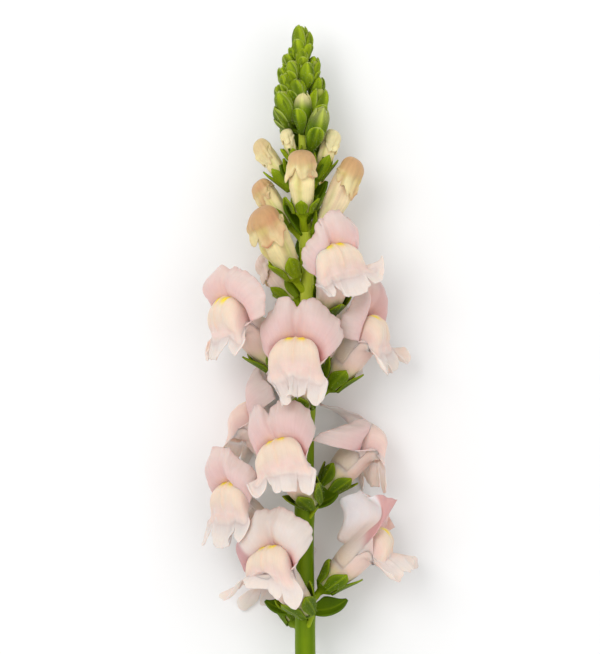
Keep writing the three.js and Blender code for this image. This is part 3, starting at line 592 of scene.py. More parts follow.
def lower_lip(flower, net, rng):
    """The two-humped palate and the three lobes that it runs out into, as a front and a back grid."""
    last = len(LOWER_LIP[0]) - 1
    waist = WAIST_ROW / last
    # The columns lie closest together at the clefts, in the middle and at both edges.
    a = np.linspace(-1, 1, LIP_COLUMNS)
    a = a - 0.6 * np.sin(4 * math.pi * a) / (4 * math.pi)
    above = np.linspace(0, waist, LIP_ROWS[0], endpoint=False)
    t = np.concatenate([above, np.linspace(waist, 1, LIP_ROWS[1])])
    A, T = np.meshgrid(a, t, indexing="ij")
    far = np.abs(A)
    middle = np.where(far < CLEFT, 0, np.sign(A) * (1 + CLEFT) / 2)
    own = (A - middle) / np.where(far < CLEFT, CLEFT, (1 - CLEFT) / 2)
    cut = 0.2 * np.abs(own) ** 4.5 + 0.25 * flower.get("lobed", 1) * bump(far, CLEFT, 0.014)
    cut = np.clip(cut + 0.028 * waves(A / 2, rng, [4, 9, 15], [0.8, 0.6, 0.4]), 0, 0.7)
    V = T - np.maximum(T - waist, 0) * cut
    free = np.clip((V - waist) / (1 - waist), 0, 1)
    net = net.copy()
    net[:, WAIST_ROW] = 0.4 * net[:, WAIST_ROW] + 0.3 * (net[:, WAIST_ROW - 1] + net[:, WAIST_ROW + 1])
    net[:, -1] += LOBE_GROWTH * (net[:, -1] - net[:, -2])
    net[:, -1, 1] *= 1 + LOBE_SPREAD
    net[:, -2, 1] *= 1 + LOBE_SPREAD * 0.6
    sheet = sheet_points(net, (A + 1) / 2, V)
    normal = normals_of(sheet)
    inner = rise(V, 0.04, 0.2) * (1 - rise(V, waist - 0.14, waist + 0.06)) * (1 - rise(far, 0.85, 1))
    humps = 1.1 * bump(far, 0.3, 0.17) - 0.9 * bump(A, 0, 0.07)
    swell = 1.1 * (1 - own**2) * rise(free, 0.05, 0.55) - 1.5 * rise(free, 0.55, 1.1) ** 2
    ahead = 0.7 * (1 - rise(far, CLEFT - 0.05, CLEFT + 0.05)) * rise(free, 0.05, 0.5)
    ruffle = 0.9 * waves(A / 2, rng, [1.3, 2.9], [1, 0.7]) * rise(free, 0.2, 1)
    ruffle = ruffle + 0.1 * waves(A / 2, rng, [6, 10, 15], [1, 0.8, 0.5]) * rise(free, 0.5, 1)
    soft = 0.12 * waves(A / 2 + 0.1 * V, rng, [3, 5], [1, 0.8]) * rise(V, 0.2, 0.4)
    sheet = sheet + normal * (humps * inner + swell + ahead + ruffle + soft)[..., None]
    normal = normals_of(sheet)
    core = PALATE_CORE + np.zeros_like(sheet)
    core[..., 1] = sheet[..., 1] * PALATE_CORE_SIDE
    depth = np.interp(V, np.arange(len(LIP_DEPTH)) / last, LIP_DEPTH)[..., None]
    back = sheet * (1 - depth) + core * depth - normal * PETAL_THICKNESS * 0.9
    blush = flower.get("blush", 0)
    veins = 0.5 + 0.2 * waves(A / 2, rng, [9, 15, 24], [1, 1, 1])
    yellow = bump(far, 0.19, 0.11) * bump(V, 0.222, 0.055)
    front = layered(
        CREAM,
        (PALE_CREAM, rise(V, 0.3, waist)),
        (PALE_PINK, np.maximum(rise(far, 0.5, 0.95) * 0.7, 0.8 * rise(V, waist - 0.2, waist + 0.05))),
        (PALE_PINK, blush),
        (WHITISH, 0.85 * rise(free, 0.1, 0.8)),
        (PINK, 0.3 * veins * rise(V, waist - 0.15, waist) * (1 - rise(free, 0.4, 1))),
        (PINK, 0.35 * rise(free, 0.93, 1)),
        (DEEP_PINK, 0.3 * rise(far, 0.75, 1) * (1 - rise(V, 0.3, waist))),
        # A darker cream down the groove between the two humps: painted shade in the crease.
        (TUBE_CREAM, 0.6 * bump(A, 0, 0.05) * inner),
        (YELLOW, np.clip(yellow * 2.2, 0, 1) * (1 - blush)),
    )
    behind = blend(PALE_PINK, WHITISH, rise(free, 0.2, 1) * 0.7)
    return sheet, back, front, behind, on_map(A, V * 1.6 + 1.3)


CHEEK_UP = 0.42  # how far up the upper lip's side the cheek reaches
CHEEK_DOWN = 0.5  # how far along the palate's flank it reaches
CHEEK_BULGE = 0.5
CHEEK_GRID = (9, 14)
CHEEK_START = 0.06  # how far from the very corner the web begins


def cheek(above, below):
    """The web of petal in a corner of the mouth, between the upper lip's side and the palate's flank."""
    s, t = np.meshgrid(
        np.linspace(0, 1, CHEEK_GRID[0]), np.linspace(CHEEK_START, 1, CHEEK_GRID[1]), indexing="ij",
    )
    top = through(above, CHEEK_UP * t[0])
    low = through(below, CHEEK_DOWN * t[0])
    web = top[None] * (1 - s[..., None]) + low[None] * s[..., None]
    web[..., 1] += np.sign(low[-1, 1]) * CHEEK_BULGE * np.sin(math.pi * s) * (1 - t)
    tint = blend(PALE_PINK, PINK, 0.5 * t)
    return web, tint, np.stack([s, t], axis=-1)


def corolla(flower, seed):
    rng = np.random.default_rng(seed)
    place = placer(**flower)
    share = np.linspace(0, TUBE_MOUTH, TUBE_ROWS)
    angle = turns(TUBE_COLUMNS)
    ANGLE, SHARE = np.meshgrid(angle, share, indexing="ij")
    roof = rise(np.cos(ANGLE), 0.0, 0.1) * rise(SHARE, 0.55, 0.75)
    tube = tube_points(SHARE, ANGLE, -1.3 * roof)
    # Past the mouth the lower half of the tube runs out to the flanks of the palate and to its waist.
    net = lip_net(LOWER_LIP, WAIST_ROW, flower.get("lower", AT_REST), flower.get("jaw", 0))
    target = tube_points(np.full_like(angle, TUBE_MOUTH), angle, clearance=-2.0)
    for i, turn in enumerate(angle):
        below = 1 - abs(turn - math.pi) / (math.pi / 2)
        if below < 0:
            continue
        hand = 1 if turn < math.pi else -1
        if below < FLANK_SHARE:
            flank = net[-1 if hand > 0 else 0, :WAIST_ROW + 1]
            target[i] = through(flank, below / FLANK_SHARE)
        else:
            across = hand * (1 - (below - FLANK_SHARE) / (1 - FLANK_SHARE))
            target[i] = through(net[:, WAIST_ROW], (across + 1) / 2)
    target = target + (PALATE_CORE - target) * 0.02
    tube = np.concatenate([tube, (tube[:, -1] * 0.45 + target * 0.55)[:, None], target[:, None]], axis=1)
    SHARE = np.concatenate([SHARE, np.full((len(angle), 2), 1.0)], axis=1)
    tint = layered(
        TUBE_GREEN, (TUBE_CREAM, rise(SHARE, 0.25, 0.6)), (PALE_PINK, rise(SHARE, 0.3, 0.8) * 0.85),
    )
    uv = np.stack([np.repeat((angle / math.pi)[:, None], SHARE.shape[1], 1), SHARE - 1.3], axis=-1)
    patches = [closed_tube(pressed(place(tube), 0.05), tint, uv)]
    upper, front, back, uv = upper_lip(flower, rng)
    rows = upper.shape[1]
    thickness = np.full(upper.shape[:2], PETAL_THICKNESS * 1.2)
    thickness *= 1 - 0.35 * rise(np.arange(rows)[None, :] / (rows - 1), 0.6, 1)
    patches.append(even_sheet(pressed(place(upper)), thickness, front, back, uv))
    sheet, back, front, behind, uv = lower_lip(flower, net, rng)
    patches.append(thick_sheet(pressed(place(sheet), 0.5), pressed(place(back), 0.05), front, behind, uv))
    for edge in (0, -1):
        web, tint, uv = cheek(upper[edge, len(UPPER_NECK):], sheet[edge, :LIP_ROWS[0] + 1])
        patches.append(even_sheet(pressed(place(web)), PETAL_THICKNESS, tint, tint, uv))
    return patches


# The calyx, and the stalk that carries it.
SEPALS = 5
SEPAL_GRID = (13, 16)
SEPAL_WIDEST = 0.45  # share of a sepal's length
FLOWER_SEPAL_LENGTH = 9.3
STALK_RADIUS = 1.3
STALK_COLUMNS = 16


def sepal_cup(flower, tilt, around, foot_radius, length, rng, tone):
    """The stalk, the cup at its end and five ovate sepals round what it holds."""
    place = placer(**flower)
    angle = turns(STALK_COLUMNS)

    def ring(u, radius):
        w = radius * np.cos(angle)
        return place(np.stack([
            u * math.sin(tilt) - w * math.cos(tilt),
            radius * np.sin(angle),
            u * math.cos(tilt) + w * math.sin(tilt),
        ], axis=-1))

    patches = []
    root = stem_point(stalk_height(flower))
    profile = [(-3.0, STALK_RADIUS), (-1.9, STALK_RADIUS * 1.25), (-1.2, foot_radius * 0.8),
               (-0.4, foot_radius * 1.1), (0.5, foot_radius + 1.0)]
    rings = [ring(u, radius) for u, radius in profile]
    stalk_end = rings[0]
    middle = stalk_end.mean(axis=0)
    stalk = []
    for t in (0.0, 0.35, 0.7):
        swell = 1 + 0.5 * (1 - t) ** 2
        stalk.append(root * (1 - t) + middle * t + (stalk_end - middle) * swell)
    rings = np.stack(stalk + rings, axis=1)
    shade = np.linspace(0, 1, rings.shape[1])
    tint = blend(YOUNG_LEAF, tone, np.repeat(shade[None], STALK_COLUMNS, 0))
    uv = np.zeros(rings.shape[:2] + (2,))
    patches.append(closed_tube(rings, tint, uv))
    for k in range(SEPALS):
        centre = 2 * math.pi * (k + 0.5) / SEPALS
        A, V = grid(*SEPAL_GRID)
        stretch = length * rng.uniform(0.96, 1.12)
        past = np.maximum(V - SEPAL_WIDEST, 0) / (1 - SEPAL_WIDEST)
        outline = np.where(V < SEPAL_WIDEST, 0.75 + 0.25 * rise(V, 0, SEPAL_WIDEST), 1 - past**1.9)
        half_angle = 0.56 * np.maximum(outline, 0.03)
        spin = centre + A * half_angle + 0.05 * rng.uniform(-1, 1) * V
        lift = 0.95 + 0.75 * rise(V, 0.2, 1) + 0.35 * (k % 2) + 0.5 * V**3 * rng.uniform(0.2, 1.2)
        lift = lift - 0.35 * np.abs(A) ** 2 * (1 - V) + 0.15 * bump(A, 0, 0.18)
        points = around(0.1 + V * stretch, spin, lift)
        young = 0.35 * np.abs(A) ** 3 + 0.35 * bump(A, 0, 0.12) + 0.3 * rise(V, 0.6, 1)
        veins = cloudy(A + 0.3 * V * A, rng, [2.2, 3.7], [0.8, 0.6])
        front = layered(tone, (YOUNG_LEAF, young), (DARK_LEAF, 0.3 * veins * (1 - rise(V, 0.7, 1))))
        patches.append(even_sheet(place(points), SEPAL_THICKNESS, front, front, on_map(A, V)))
    return patches


def flower_calyx(flower, seed):
    rng = np.random.default_rng(seed)

    def around(u, angle, clearance):
        return tube_points(u / TUBE_LENGTH, angle, clearance)

    tone = blend(LEAF, DARK_LEAF, rng.uniform(0.15, 0.6))
    return sepal_cup(flower, TUBE_TILT, around, TUBE_DORSAL[0], FLOWER_SEPAL_LENGTH, rng, tone)


# The half-open buds.
def bud_points(bud, share, angle, clearance=0.0):
    half = bud["width"] / 2
    smooth = [np.interp(share, BUD_SHARES, values) for values in (BUD_FRONT, BUD_BACK, BUD_SIDE)]
    facing = rise(np.cos(angle), -0.5, 0.5)
    out = half * (smooth[0] * facing + smooth[1] * (1 - facing)) + clearance
    side = half * smooth[2] + clearance
    return np.stack([out * np.cos(angle), side * np.sin(angle), share * bud["length"]], axis=-1)


BUD_COLUMNS = 56
BUD_ROWS = 44
BUD_TOP = 0.93  # share of the bud's length where the closed corolla ends under its hood
HOOD_COLUMNS = 97
HOOD_ROWS = 40
HOOD_START = 0.004  # where the first row of its round top is
HOOD_DOME = 0.5  # share of the hood's run that is its round top
HOOD_DOME_END = 0.83  # share of the bud's length where that ends
HOOD_WIDTHS = [0.92, 0.8, 0.86]  # front, back and side, in half widths of the bud
HOOD_FORWARD = 0.14  # how far the hood leans out, in half widths


def bud_hood(bud, rng):
    """Two lobes folded forward over the bud: a round top, and a drooping, flared and wavy margin."""
    half, length, ripe = bud["width"] / 2, bud["length"], bud["ripe"]
    A, V = grid(HOOD_COLUMNS, HOOD_ROWS, HOOD_START)
    lean = rng.uniform(-0.12, 0.12)
    side = np.abs(A - lean)
    droop = 0.63 - 0.06 * bump(side, 0.2, 0.1) + 0.09 * bump(side, 0, 0.06) + 0.15 * rise(side, 0.5, 0.95)
    droop = droop - 0.09 * bump(A - lean, 0.42, 0.07) - 0.05 * bump(A - lean, -0.42, 0.07)
    droop = droop + 0.026 * waves(A / 2, rng, [2, 5, 11, 19], [1, 0.8, 0.6, 0.4])
    dome = np.clip(V / HOOD_DOME, 0, 1) * math.pi / 2
    below = np.clip((V - HOOD_DOME) / (1 - HOOD_DOME), 0, 1)
    share = 1 - (1 - HOOD_DOME_END) * (1 - np.cos(dome)) + (droop - HOOD_DOME_END) * below
    flare = (0.06 + 0.3 * bump(side, 0.42, 0.1) + 0.16 * bump(side, 0.2, 0.1)) * rise(below, 0.25, 1) * ripe
    folds = 0.08 * waves(A / 2, rng, [2, 5, 8, 13], [1, 0.8, 0.7, 0.4]) * rise(V, 0.15, 0.8)
    folds = folds + 0.06 * waves(V + 0.4 * A, rng, [1.5, 2.7], [1, 0.7]) * rise(V, 0.25, 0.6)
    folds = folds - 0.1 * bump(A, lean, 0.05) * rise(V, 0.25, 0.6) + 0.05 * bump(below, 0.3, 0.3)
    radius = half * (np.sin(dome) ** 0.85 + flare + folds) + 0.25 * rise(V, 0, 0.15)
    turn = A * math.pi
    facing = rise(np.cos(turn), -0.5, 0.5)
    wide = HOOD_WIDTHS[0] * facing + HOOD_WIDTHS[1] * (1 - facing)
    hood = np.stack([
        radius * wide * np.cos(turn) + half * HOOD_FORWARD * rise(V, 0, 0.6),
        radius * HOOD_WIDTHS[2] * np.sin(turn),
        share * length,
    ], axis=-1)
    blush = bud.get("blush", 0)
    patchy = cloudy(A / 2, rng, [3, 5, 8], [0.7, 0.6, 0.5])
    flush = 0.55 * patchy * rise(V, 0.93, 0.99) + 0.35 * bump(A, 0.5, 0.22) * rise(V, 0.15, 0.5)
    front = layered(
        BUD_CREAM,
        (TAN, np.clip(ripe * 1.1, 0, 1) + 0 * V),
        (DEEP_TAN, ripe * (0.5 * bump(V, 0.1, 0.4) + 0.25 * patchy * rise(V, 0.3, 0.7))),
        (BUD_CREAM, 0.85 * rise(V, 0.42, 0.8) * (1 - 0.7 * patchy)),
        (RED_BROWN, ripe * flush),
        (BUD_GREEN, 0.3 * ripe * patchy * bump(V, 0.62, 0.12)),
        (PALE_PINK, max(0, 2 * blush - 1)),
    )
    behind = blend(BUD_CREAM, PALE_PINK, 0.4 * ripe * rise(V, 0.6, 1))
    return hood, behind, front, on_map(A, V)


def bud_corolla(bud, seed):
    """The closed corolla, and the hood of upper lobes folded down over its front."""
    rng = np.random.default_rng(seed)
    place = placer(**bud)
    ripe = bud["ripe"]
    half = bud["width"] / 2
    ANGLE, SHARE = np.meshgrid(turns(BUD_COLUMNS), np.linspace(0, BUD_TOP, BUD_ROWS), indexing="ij")
    pleats = 0.04 * half * np.cos(5 * ANGLE + 2 * SHARE) * rise(SHARE, 0.2, 0.5)
    pleats = pleats + 0.02 * half * waves(ANGLE / (2 * math.pi), rng, [3, 5], [1, 0.8])
    # The tucked-in lower lobes swell under the hood's edge, either side of a furrow.
    front_side = rise(np.cos(ANGLE), 0.1, 0.8)
    swell = 0.14 * bump(SHARE, 0.5, 0.1) * front_side * (1 - 1.3 * bump(np.sin(ANGLE), 0, 0.16))
    body = bud_points(bud, SHARE, ANGLE, pleats + half * swell)
    streak = bump(np.cos(4 * ANGLE + 1.2 * SHARE), 1, 0.5) * (1 - rise(SHARE, 0.5, 0.75))
    warm = bump(np.cos(5 * ANGLE - 2 * SHARE + 1), 1, 0.35) * rise(SHARE, 0.15, 0.5)
    tint = layered(
        BUD_GREEN,
        (BUD_CREAM, rise(SHARE, -0.1, 0.2 + 0.3 * (1 - ripe))),
        (TAN, 0.4 * ripe * rise(SHARE, 0.45, 0.75)),
        (BUD_GREEN, 0.5 * streak),
        (DEEP_TAN, 0.3 * ripe * warm),
        (PALE_PINK, bud.get("blush", 0) * rise(SHARE, 0.1, 0.4)),
    )
    uv = np.stack([ANGLE / math.pi, SHARE], axis=-1)
    patches = [closed_tube(pressed(place(body), 0.05), tint, uv)]
    hood, inside, outside, uv = bud_hood(bud, rng)
    patches.append(even_sheet(pressed(place(hood)), PETAL_THICKNESS, inside, outside, uv))
    return patches


def bud_calyx(bud, seed):
    rng = np.random.default_rng(seed)

    def around(u, angle, clearance):
        return bud_points(bud, np.clip(u / bud["length"], 0, 1), math.pi - angle, clearance)

    tone = blend(LEAF, YOUNG_LEAF, rng.uniform(0.2, 0.7))
    foot_radius = BUD_SIDE[0] * bud["width"] / 2
    return sepal_cup(bud, 0.0, around, foot_radius, bud.get("sepals", 8) + 0.8, rng, tone)


# The green buds of the tip.
GREEN_COLUMNS = 20
GREEN_ROWS = 16
GREEN_SEPAL_GRID = (15, 18)
GREEN_FOOT = 0.42  # share of the half width at a green bud's foot
GREEN_WIDEST = 0.52  # share of the length where it is widest
# The sepals of a green bud: the angle of the middle, the spread to each side, where they start and end as
# shares of the bud's length, and how far out they lie as a share of its half width.
GREEN_SEPALS = [
    (0, 1.25, 0.02, 1.0, 1.0), (2.1, 1.15, 0.02, 0.97, 0.95), (-2.1, 1.15, 0.02, 0.97, 0.95),
    (1.0, 0.9, 0.02, 0.98, 0.94), (-0.25, 0.95, -0.06, 0.6, 1.14),
]


def plump(share):
    """The outline of a green bud, as a share of its half width: a narrow foot and a round top."""
    low = GREEN_FOOT + (1 - GREEN_FOOT) * np.sin(np.clip(share / GREEN_WIDEST, 0, 1) * math.pi / 2)
    high = np.sqrt(np.clip(1 - (np.clip(share - GREEN_WIDEST, 0, 1) / (1 - GREEN_WIDEST)) ** 2.5, 0.0004, 1))
    return np.where(share < GREEN_WIDEST, low, high)


def green_bud(entry, seed):
    """Five blunt sepals closed over each other on a short stalk."""
    rng = np.random.default_rng(seed)
    height, azimuth, reach, pitch, length, width, *tip = entry
    pale = tip[0] if tip else 0
    place = placer(height, azimuth, reach, pitch=pitch)
    half = width / 2
    tone = blend(LEAF, YOUNG_LEAF, rise(height, 185, 235) * 0.3 + rng.uniform(0, 0.35))
    ANGLE, SHARE = np.meshgrid(turns(GREEN_COLUMNS), np.linspace(0, 1, GREEN_ROWS) ** 0.8, indexing="ij")
    core = half * 0.88 * plump(SHARE)
    points = place(np.stack([core * np.cos(ANGLE), core * np.sin(ANGLE), SHARE * length * 0.95], axis=-1))
    root = stem_point(height - 1.5)
    foot = root + (points[:, 0] - points[:, 0].mean(axis=0)) * 0.9
    rings = np.concatenate([foot[:, None], points], axis=1)
    top = np.concatenate([np.zeros((GREEN_COLUMNS, 1)), SHARE], axis=1)
    tint = blend(blend(DARK_LEAF, tone, 0.5 + 0 * top), BUD_GREEN, 0.6 * rise(top, 0.75, 1))
    patches = [closed_tube(rings, tint, np.zeros(rings.shape[:2] + (2,)))]
    for centre, spread, low, high, lift in GREEN_SEPALS:
        A, V = grid(*GREEN_SEPAL_GRID)
        centre = centre + rng.uniform(-0.45, 0.45)
        at = low + V * (high * rng.uniform(0.94, 1) - low)
        blunt = np.clip(1 - (np.maximum(V - 0.35, 0) / 0.65) ** 2.8, 0.004, 1)
        outline = np.sqrt(blunt) * (0.7 + 0.3 * rise(V, 0, 0.35))
        spin = centre + A * spread * outline
        ridge = 0.2 * bump(A, 0, 0.16) * (1 - rise(V, 0.7, 1)) - 0.14 * bump(np.abs(A), 0.4, 0.2)
        uneven = 0.1 * waves(V, rng, [1, 2], [1, 0.6])
        radius = half * plump(at) * lift + ridge + uneven - 0.1 * np.abs(A) ** 3
        sheet = np.stack([radius * np.cos(spin), radius * np.sin(spin), at * length], axis=-1)
        # shade is a painted mottle of light and shade over the sepal. painted_shade is painted shade: darkest
        # at the bud's foot, and in the dark patches of that mottle lower down.
        shade = cloudy(A / 2 + 0.3 * V, rng, [1, 2.3], [0.8, 0.6])
        painted_shade = 0.8 * (1 - rise(V, 0.0, 0.55)) + 0.6 * (1 - shade) * rise(V, 0.2, 0.5) * (1 - rise(V, 0.75, 1))
        front = layered(
            tone,
            # Painted highlight towards the tip, in the light patches of the mottle, and a paler mid-vein.
            (YOUNG_LEAF, 0.75 * rise(V, 0.4, 1) * shade + 0.35 * bump(A, 0, 0.12)),
            (DARK_LEAF, np.clip(painted_shade, 0, 1)),
            (BUD_CREAM, pale * (high > 0.8) * rise(V, 0.55, 0.95)),
            (PALE_RIM, 0.6 * np.maximum(rise(A, 0.84, 1), rise(V, 0.94, 1))),
        )
        patches.append(even_sheet(place(sheet), SEPAL_THICKNESS * 0.8, front, front, on_map(A, V)))
    return patches


BRACT_GRID = (15, 24)
BRACT_THICKNESS = 0.9
BRACT_ROOT = 0.6  # how deep its foot stands in the stem
BRACT_HOLLOW = 0.09


def bract(entry):
    """A blunt leaf that leaves the stem below a flower and curves up, turned about its length by twist."""
    height, azimuth, length, width, spread, twist = entry
    place = placer(height, azimuth, 0)
    A, V = grid(*BRACT_GRID)
    v = V[0]
    lean = np.radians(spread) * np.interp(v, [0, 1], BRACT_LEAN)
    step = length / (len(v) - 1)
    out = stem_radius(height) - BRACT_ROOT + np.concatenate([[0], np.cumsum(np.sin(lean) * step)[:-1]])
    up = np.concatenate([[0], np.cumsum(np.cos(lean) * step)[:-1]])
    side = A * (width / 2) * through(BRACT_OUTLINE, V)
    c, s = cos_sin(twist)
    turned = side * s
    hollow = BRACT_HOLLOW * side**2
    sheet = np.stack([
        out - (turned + hollow) * np.cos(lean),
        side * c,
        up + (turned + hollow) * np.sin(lean),
    ], axis=-1)
    front = layered(LEAF, (DARK_LEAF, 0.5 * rise(V, 0.1, 0.7)), (YOUNG_LEAF, 0.3 * bump(A, 0, 0.1)))
    return [even_sheet(place(sheet), BRACT_THICKNESS, front, front, on_map(A, V))]


HAIR_LENGTH = (0.35, 0.9)
HAIR_RADIUS = 0.028
HAIR_ROOT = 0.1  # how deep each stands in its leaf
TIP_HAIRS = 9000
CALYX_HAIRS = 5000


def hairs(patches, count, seed):
    """Fine hairs that stand on the outside of the patches, each a slim closed spike, in one patch."""
    rng = np.random.default_rng(seed)
    corners, normals = [], []
    for points, faces, _, _ in patches:
        a, b, c = (points[faces[:, k]] for k in range(3))
        normal = np.cross(b - a, c - a)
        outside = (normal * (a - points.mean(axis=0))).sum(axis=1) > 0
        corners.append(np.stack([a, b, c], axis=1)[outside])
        normals.append(normal[outside])
    corners, normals = np.concatenate(corners), np.concatenate(normals)
    area = np.linalg.norm(normals, axis=1)
    pick = rng.choice(len(area), count, p=area / area.sum())
    root = (corners[pick] * rng.dirichlet((1, 1, 1), count)[..., None]).sum(axis=1)
    way = unit(normals[pick] / area[pick][:, None] + rng.normal(0, 0.35, (count, 3)))
    across = unit(np.cross(way, rng.normal(0, 1, (count, 3))))
    third = np.cross(way, across)
    spikes = []
    for turn in turns(3):
        foot = across * math.cos(turn) + third * math.sin(turn)
        spikes.append(root - way * HAIR_ROOT + HAIR_RADIUS * foot)
    spikes.append(root + way * rng.uniform(*HAIR_LENGTH, count)[:, None])
    points = np.stack(spikes, axis=1).reshape(-1, 3)
    start = np.arange(count) * 4
    faces = [np.stack([start + k, start + (k + 1) % 3, start + 3, start + 3], axis=-1) for k in range(3)]
    faces.append(np.stack([start, start + 2, start + 1, start + 1], axis=-1))
    tints = np.broadcast_to(HAIR, points.shape)
    return points, np.concatenate(faces), tints, np.zeros((len(points), 2))


STEM_COLUMNS = 40
STEM_ROWS = 260
STEM_TOP = 231  # it ends inside the top green buds


def main_stem():
    """The stem, a little swollen where each stalk leaves it."""
    heights = np.linspace(CUT_END, STEM_TOP, STEM_ROWS)
    line = stem_point(heights)
    tangent = unit(np.gradient(line, axis=0))
    across = unit(np.cross(np.array([0.0, 0.0, 1.0]), tangent))
    upward = np.cross(tangent, across)
    ANGLE, HEIGHT = np.meshgrid(turns(STEM_COLUMNS), heights, indexing="ij")
    radius = stem_radius(HEIGHT) * (0.985 + 0.012 * np.cos(5 * ANGLE + HEIGHT * 0.02))
    for item in list(FLOWERS.values()) + list(BUDS.values()):
        toward = math.pi / 2 - math.radians(item["azimuth"])
        near = np.exp(3 * (np.cos(ANGLE - math.pi + toward) - 1))
        radius = radius + 0.45 * near * bump(HEIGHT, stalk_height(item), 4.0)
    rings = (
        line[None]
        + across[None] * (radius * np.cos(ANGLE))[..., None]
        + upward[None] * (radius * np.sin(ANGLE))[..., None]
    )
    # ribs: five pale stripes along the stem, painted highlight streaks.
    ribs = 0.35 * (0.5 + 0.5 * np.sin(5 * ANGLE)) * 0.5
    tint = layered(STEM_LOW, (STEM_HIGH, rise(HEIGHT, 60, 150)), (YOUNG_LEAF, ribs))
    uv = np.stack([ANGLE / math.pi, HEIGHT * 0.02], axis=-1)
    return [closed_tube(rings, tint, uv)]


# Materials.
PETAL_SCATTER = (0.004, 0.002, 0.0015)
LEAF_SCATTER = (0.001, 0.0015, 0.0003)


def principled(name, roughness, specular=0.35, subsurface=0.0, radius=PETAL_SCATTER, sheen=0.0):
    material = bpy.data.materials.new(name)
    material.use_nodes = True
    shader = material.node_tree.nodes["Principled BSDF"]
    shader.inputs["Roughness"].default_value = roughness
    shader.inputs["Specular IOR Level"].default_value = specular
    shader.inputs["Subsurface Weight"].default_value = subsurface
    shader.inputs["Subsurface Radius"].default_value = radius
    shader.inputs["Subsurface Scale"].default_value = 1.0
    shader.inputs["Sheen Weight"].default_value = sheen
    return material, shader


STREAK_LENGTH = 1.6
RELIEF_DEPTH = 0.0003


def tinted(name, mottle, mottle_scale, streak, streak_scale, bump_strength, bump_scale, **shading):
    """A material that takes its tint from the mesh, mottled and streaked, with a fine relief."""
    material, shader = principled(name, **shading)
    nodes, links = material.node_tree.nodes, material.node_tree.links

    def noise(where, scale, detail):
        made = nodes.new("ShaderNodeTexNoise")
        made.inputs["Scale"].default_value = scale
        made.inputs["Detail"].default_value = detail
        links.new(where, made.inputs["Vector"])
        return made.outputs["Fac"]

    def scaled(value, factor):
        """A node for value times factor plus its third input."""
        made = nodes.new("ShaderNodeMath")
        made.operation = "MULTIPLY_ADD"
        made.inputs[1].default_value = factor
        links.new(value, made.inputs[0])
        return made

    tint = nodes.new("ShaderNodeVertexColor")
    tint.layer_name = "tint"
    where = nodes.new("ShaderNodeTexCoord").outputs["Object"]
    lie = nodes.new("ShaderNodeUVMap")
    lie.uv_map = "lie"
    stretch = nodes.new("ShaderNodeMapping")
    stretch.inputs["Scale"].default_value = (streak_scale, STREAK_LENGTH, 1)
    links.new(lie.outputs["UV"], stretch.inputs["Vector"])
    lines = noise(stretch.outputs["Vector"], 1.0, 2)
    spots = scaled(noise(where, mottle_scale, 4), mottle)
    spots.inputs[2].default_value = 1 - (mottle + streak) / 2
    together = scaled(lines, streak)
    links.new(spots.outputs[0], together.inputs[2])
    scale = nodes.new("ShaderNodeVectorMath")
    scale.operation = "SCALE"
    links.new(tint.outputs["Color"], scale.inputs[0])
    links.new(together.outputs[0], scale.inputs["Scale"])
    links.new(scale.outputs["Vector"], shader.inputs["Base Color"])
    height = scaled(lines, 0.6)
    links.new(noise(where, bump_scale, 3), height.inputs[2])
    relief = nodes.new("ShaderNodeBump")
    relief.inputs["Strength"].default_value = bump_strength
    relief.inputs["Distance"].default_value = RELIEF_DEPTH
    links.new(height.outputs[0], relief.inputs["Height"])
    links.new(relief.outputs["Normal"], shader.inputs["Normal"])
    return material


petal_material = tinted(
    "petal", mottle=0.1, mottle_scale=260, streak=0.09, streak_scale=60, bump_strength=0.35, bump_scale=1500,
    roughness=0.55, specular=0.25, subsurface=0.45, sheen=0.15,
)
bud_material = tinted(
    "bud", mottle=0.3, mottle_scale=300, streak=0.32, streak_scale=26, bump_strength=0.4, bump_scale=1400,
    roughness=0.5, specular=0.35, subsurface=0.2, sheen=0.1,
)
leaf_material = tinted(
    "leaf", mottle=0.4, mottle_scale=420, streak=0.25, streak_scale=18, bump_strength=0.5, bump_scale=1600,
    roughness=0.5, specular=0.1, subsurface=0.05, radius=LEAF_SCATTER,
)
stem_material = tinted(
    "stem", mottle=0.3, mottle_scale=160, streak=0.35, streak_scale=30, bump_strength=0.4, bump_scale=900,
    roughness=0.45, specular=0.1, subsurface=0.04, radius=LEAF_SCATTER,
)
hair_material = tinted(
    "hair", mottle=0.1, mottle_scale=300, streak=0.05, streak_scale=10, bump_strength=0.1, bump_scale=900,
    roughness=0.4, specular=0.4, subsurface=0.1,
)


def add_piece(name, patches, material, slot, *nodes):
    piece = mesh_object(name, patches, material)
    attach(piece, "root")
    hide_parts(*nodes)


# The first seed of each kind of piece. Each piece after it adds one.
FLOWER_SEED = 100
BUD_SEED = 200
FLOWER_CALYX_SEED = 300
BUD_CALYX_SEED = 400
GREEN_BUD_SEED = 500
HAIR_SEED = 600

for number, (name, flower) in enumerate(FLOWERS.items()):
    add_piece(name + "_corolla", corolla(flower, FLOWER_SEED + number), petal_material, "petal", name)
for number, (name, bud) in enumerate(BUDS.items()):
    add_piece(name + "_corolla", bud_corolla(bud, BUD_SEED + number), bud_material, "bud", name)

calyces = []
for number, flower in enumerate(FLOWERS.values()):
    calyces += flower_calyx(flower, FLOWER_CALYX_SEED + number)
for number, bud in enumerate(BUDS.values()):
    calyces += bud_calyx(bud, BUD_CALYX_SEED + number)
add_piece("calyces", calyces, leaf_material, "green", "stem")
tip_buds = []
for number, entry in enumerate(GREEN_BUDS):
    tip_buds += green_bud(entry, GREEN_BUD_SEED + number)
add_piece("green_buds", tip_buds, leaf_material, "green", "stem")
add_piece("bracts", [patch for entry in BRACTS for patch in bract(entry)], leaf_material, "green", "stem")
add_piece("main_stem", main_stem(), stem_material, "green", "stem")
coat = [hairs(tip_buds, TIP_HAIRS, HAIR_SEED), hairs(calyces, CALYX_HAIRS, HAIR_SEED + 1)]
add_piece("hairs", coat, hair_material, "green", "stem")


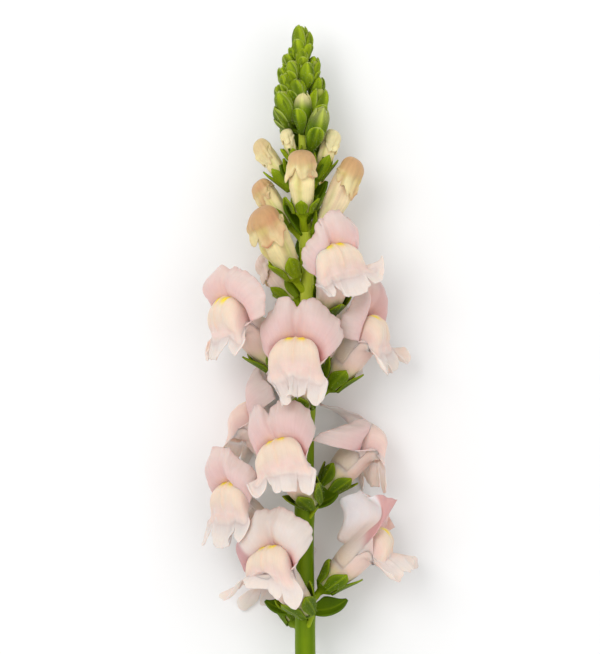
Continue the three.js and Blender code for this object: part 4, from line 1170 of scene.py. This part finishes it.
# The floor, the light and the camera.
FLOOR_HALF = 3.0
FLOOR_TOP = -0.0002  # just under the plant
FLOOR_GREY = 0.9
WORLD_STRENGTH = 0.82
floor_mesh = bpy.data.meshes.new("floor")
corners = [(x * FLOOR_HALF, y * FLOOR_HALF, FLOOR_TOP) for x, y in ((-1, -1), (1, -1), (1, 1), (-1, 1))]
floor_mesh.from_pydata(corners, [], [(0, 1, 2, 3)])
floor = put("floor", floor_mesh)
floor_material, floor_shader = principled("floor", roughness=0.8, specular=0.2)
floor_shader.inputs["Base Color"].default_value = (FLOOR_GREY, FLOOR_GREY, FLOOR_GREY, 1)
floor_mesh.materials.append(floor_material)

world = bpy.data.worlds.new("studio")
world.use_nodes = True
world.node_tree.nodes["Background"].inputs["Color"].default_value = (1, 1, 1, 1)
world.node_tree.nodes["Background"].inputs["Strength"].default_value = WORLD_STRENGTH
bpy.context.scene.world = world
bpy.context.scene.view_settings.view_transform = "Standard"


def softbox(name, place, size, power):
    """A square lamp that faces the frame's origin."""
    lamp = bpy.data.lights.new(name, "AREA")
    lamp.shape = "SQUARE"
    lamp.size = size
    lamp.energy = power
    obj = put(name, lamp)
    obj.location = place
    aim = unit(-np.array(place, float))
    obj.rotation_euler = (math.acos(-aim[2]), 0, math.atan2(aim[1], aim[0]) - math.pi / 2)


softbox("key_light", (-0.5, 0.4, 1.2), 0.7, 6)
softbox("fill_light", (0.6, -0.1, 1.2), 0.9, 2)

PIXEL_MM = 0.38  # what a pixel of the photo spans on the plant
PHOTO_HEIGHT = 654  # pixels
VIEW_MIDDLE = np.array([-1.9, 124.3, 5.0])  # in the plant's own place
VIEW_HEIGHT = PHOTO_HEIGHT * PIXEL_MM
SENSOR = 36  # mm
CAMERA_DISTANCE = 1.6
camera_data = bpy.data.cameras.new("camera")
camera_data.lens = SENSOR * CAMERA_DISTANCE / (VIEW_HEIGHT * MM)
camera_data.clip_end = 20
camera = put("camera", camera_data)
camera.location = (VIEW_MIDDLE + PLANT_SHIFT) * MM + np.array([0, 0, CAMERA_DISTANCE])
bpy.context.scene.camera = camera
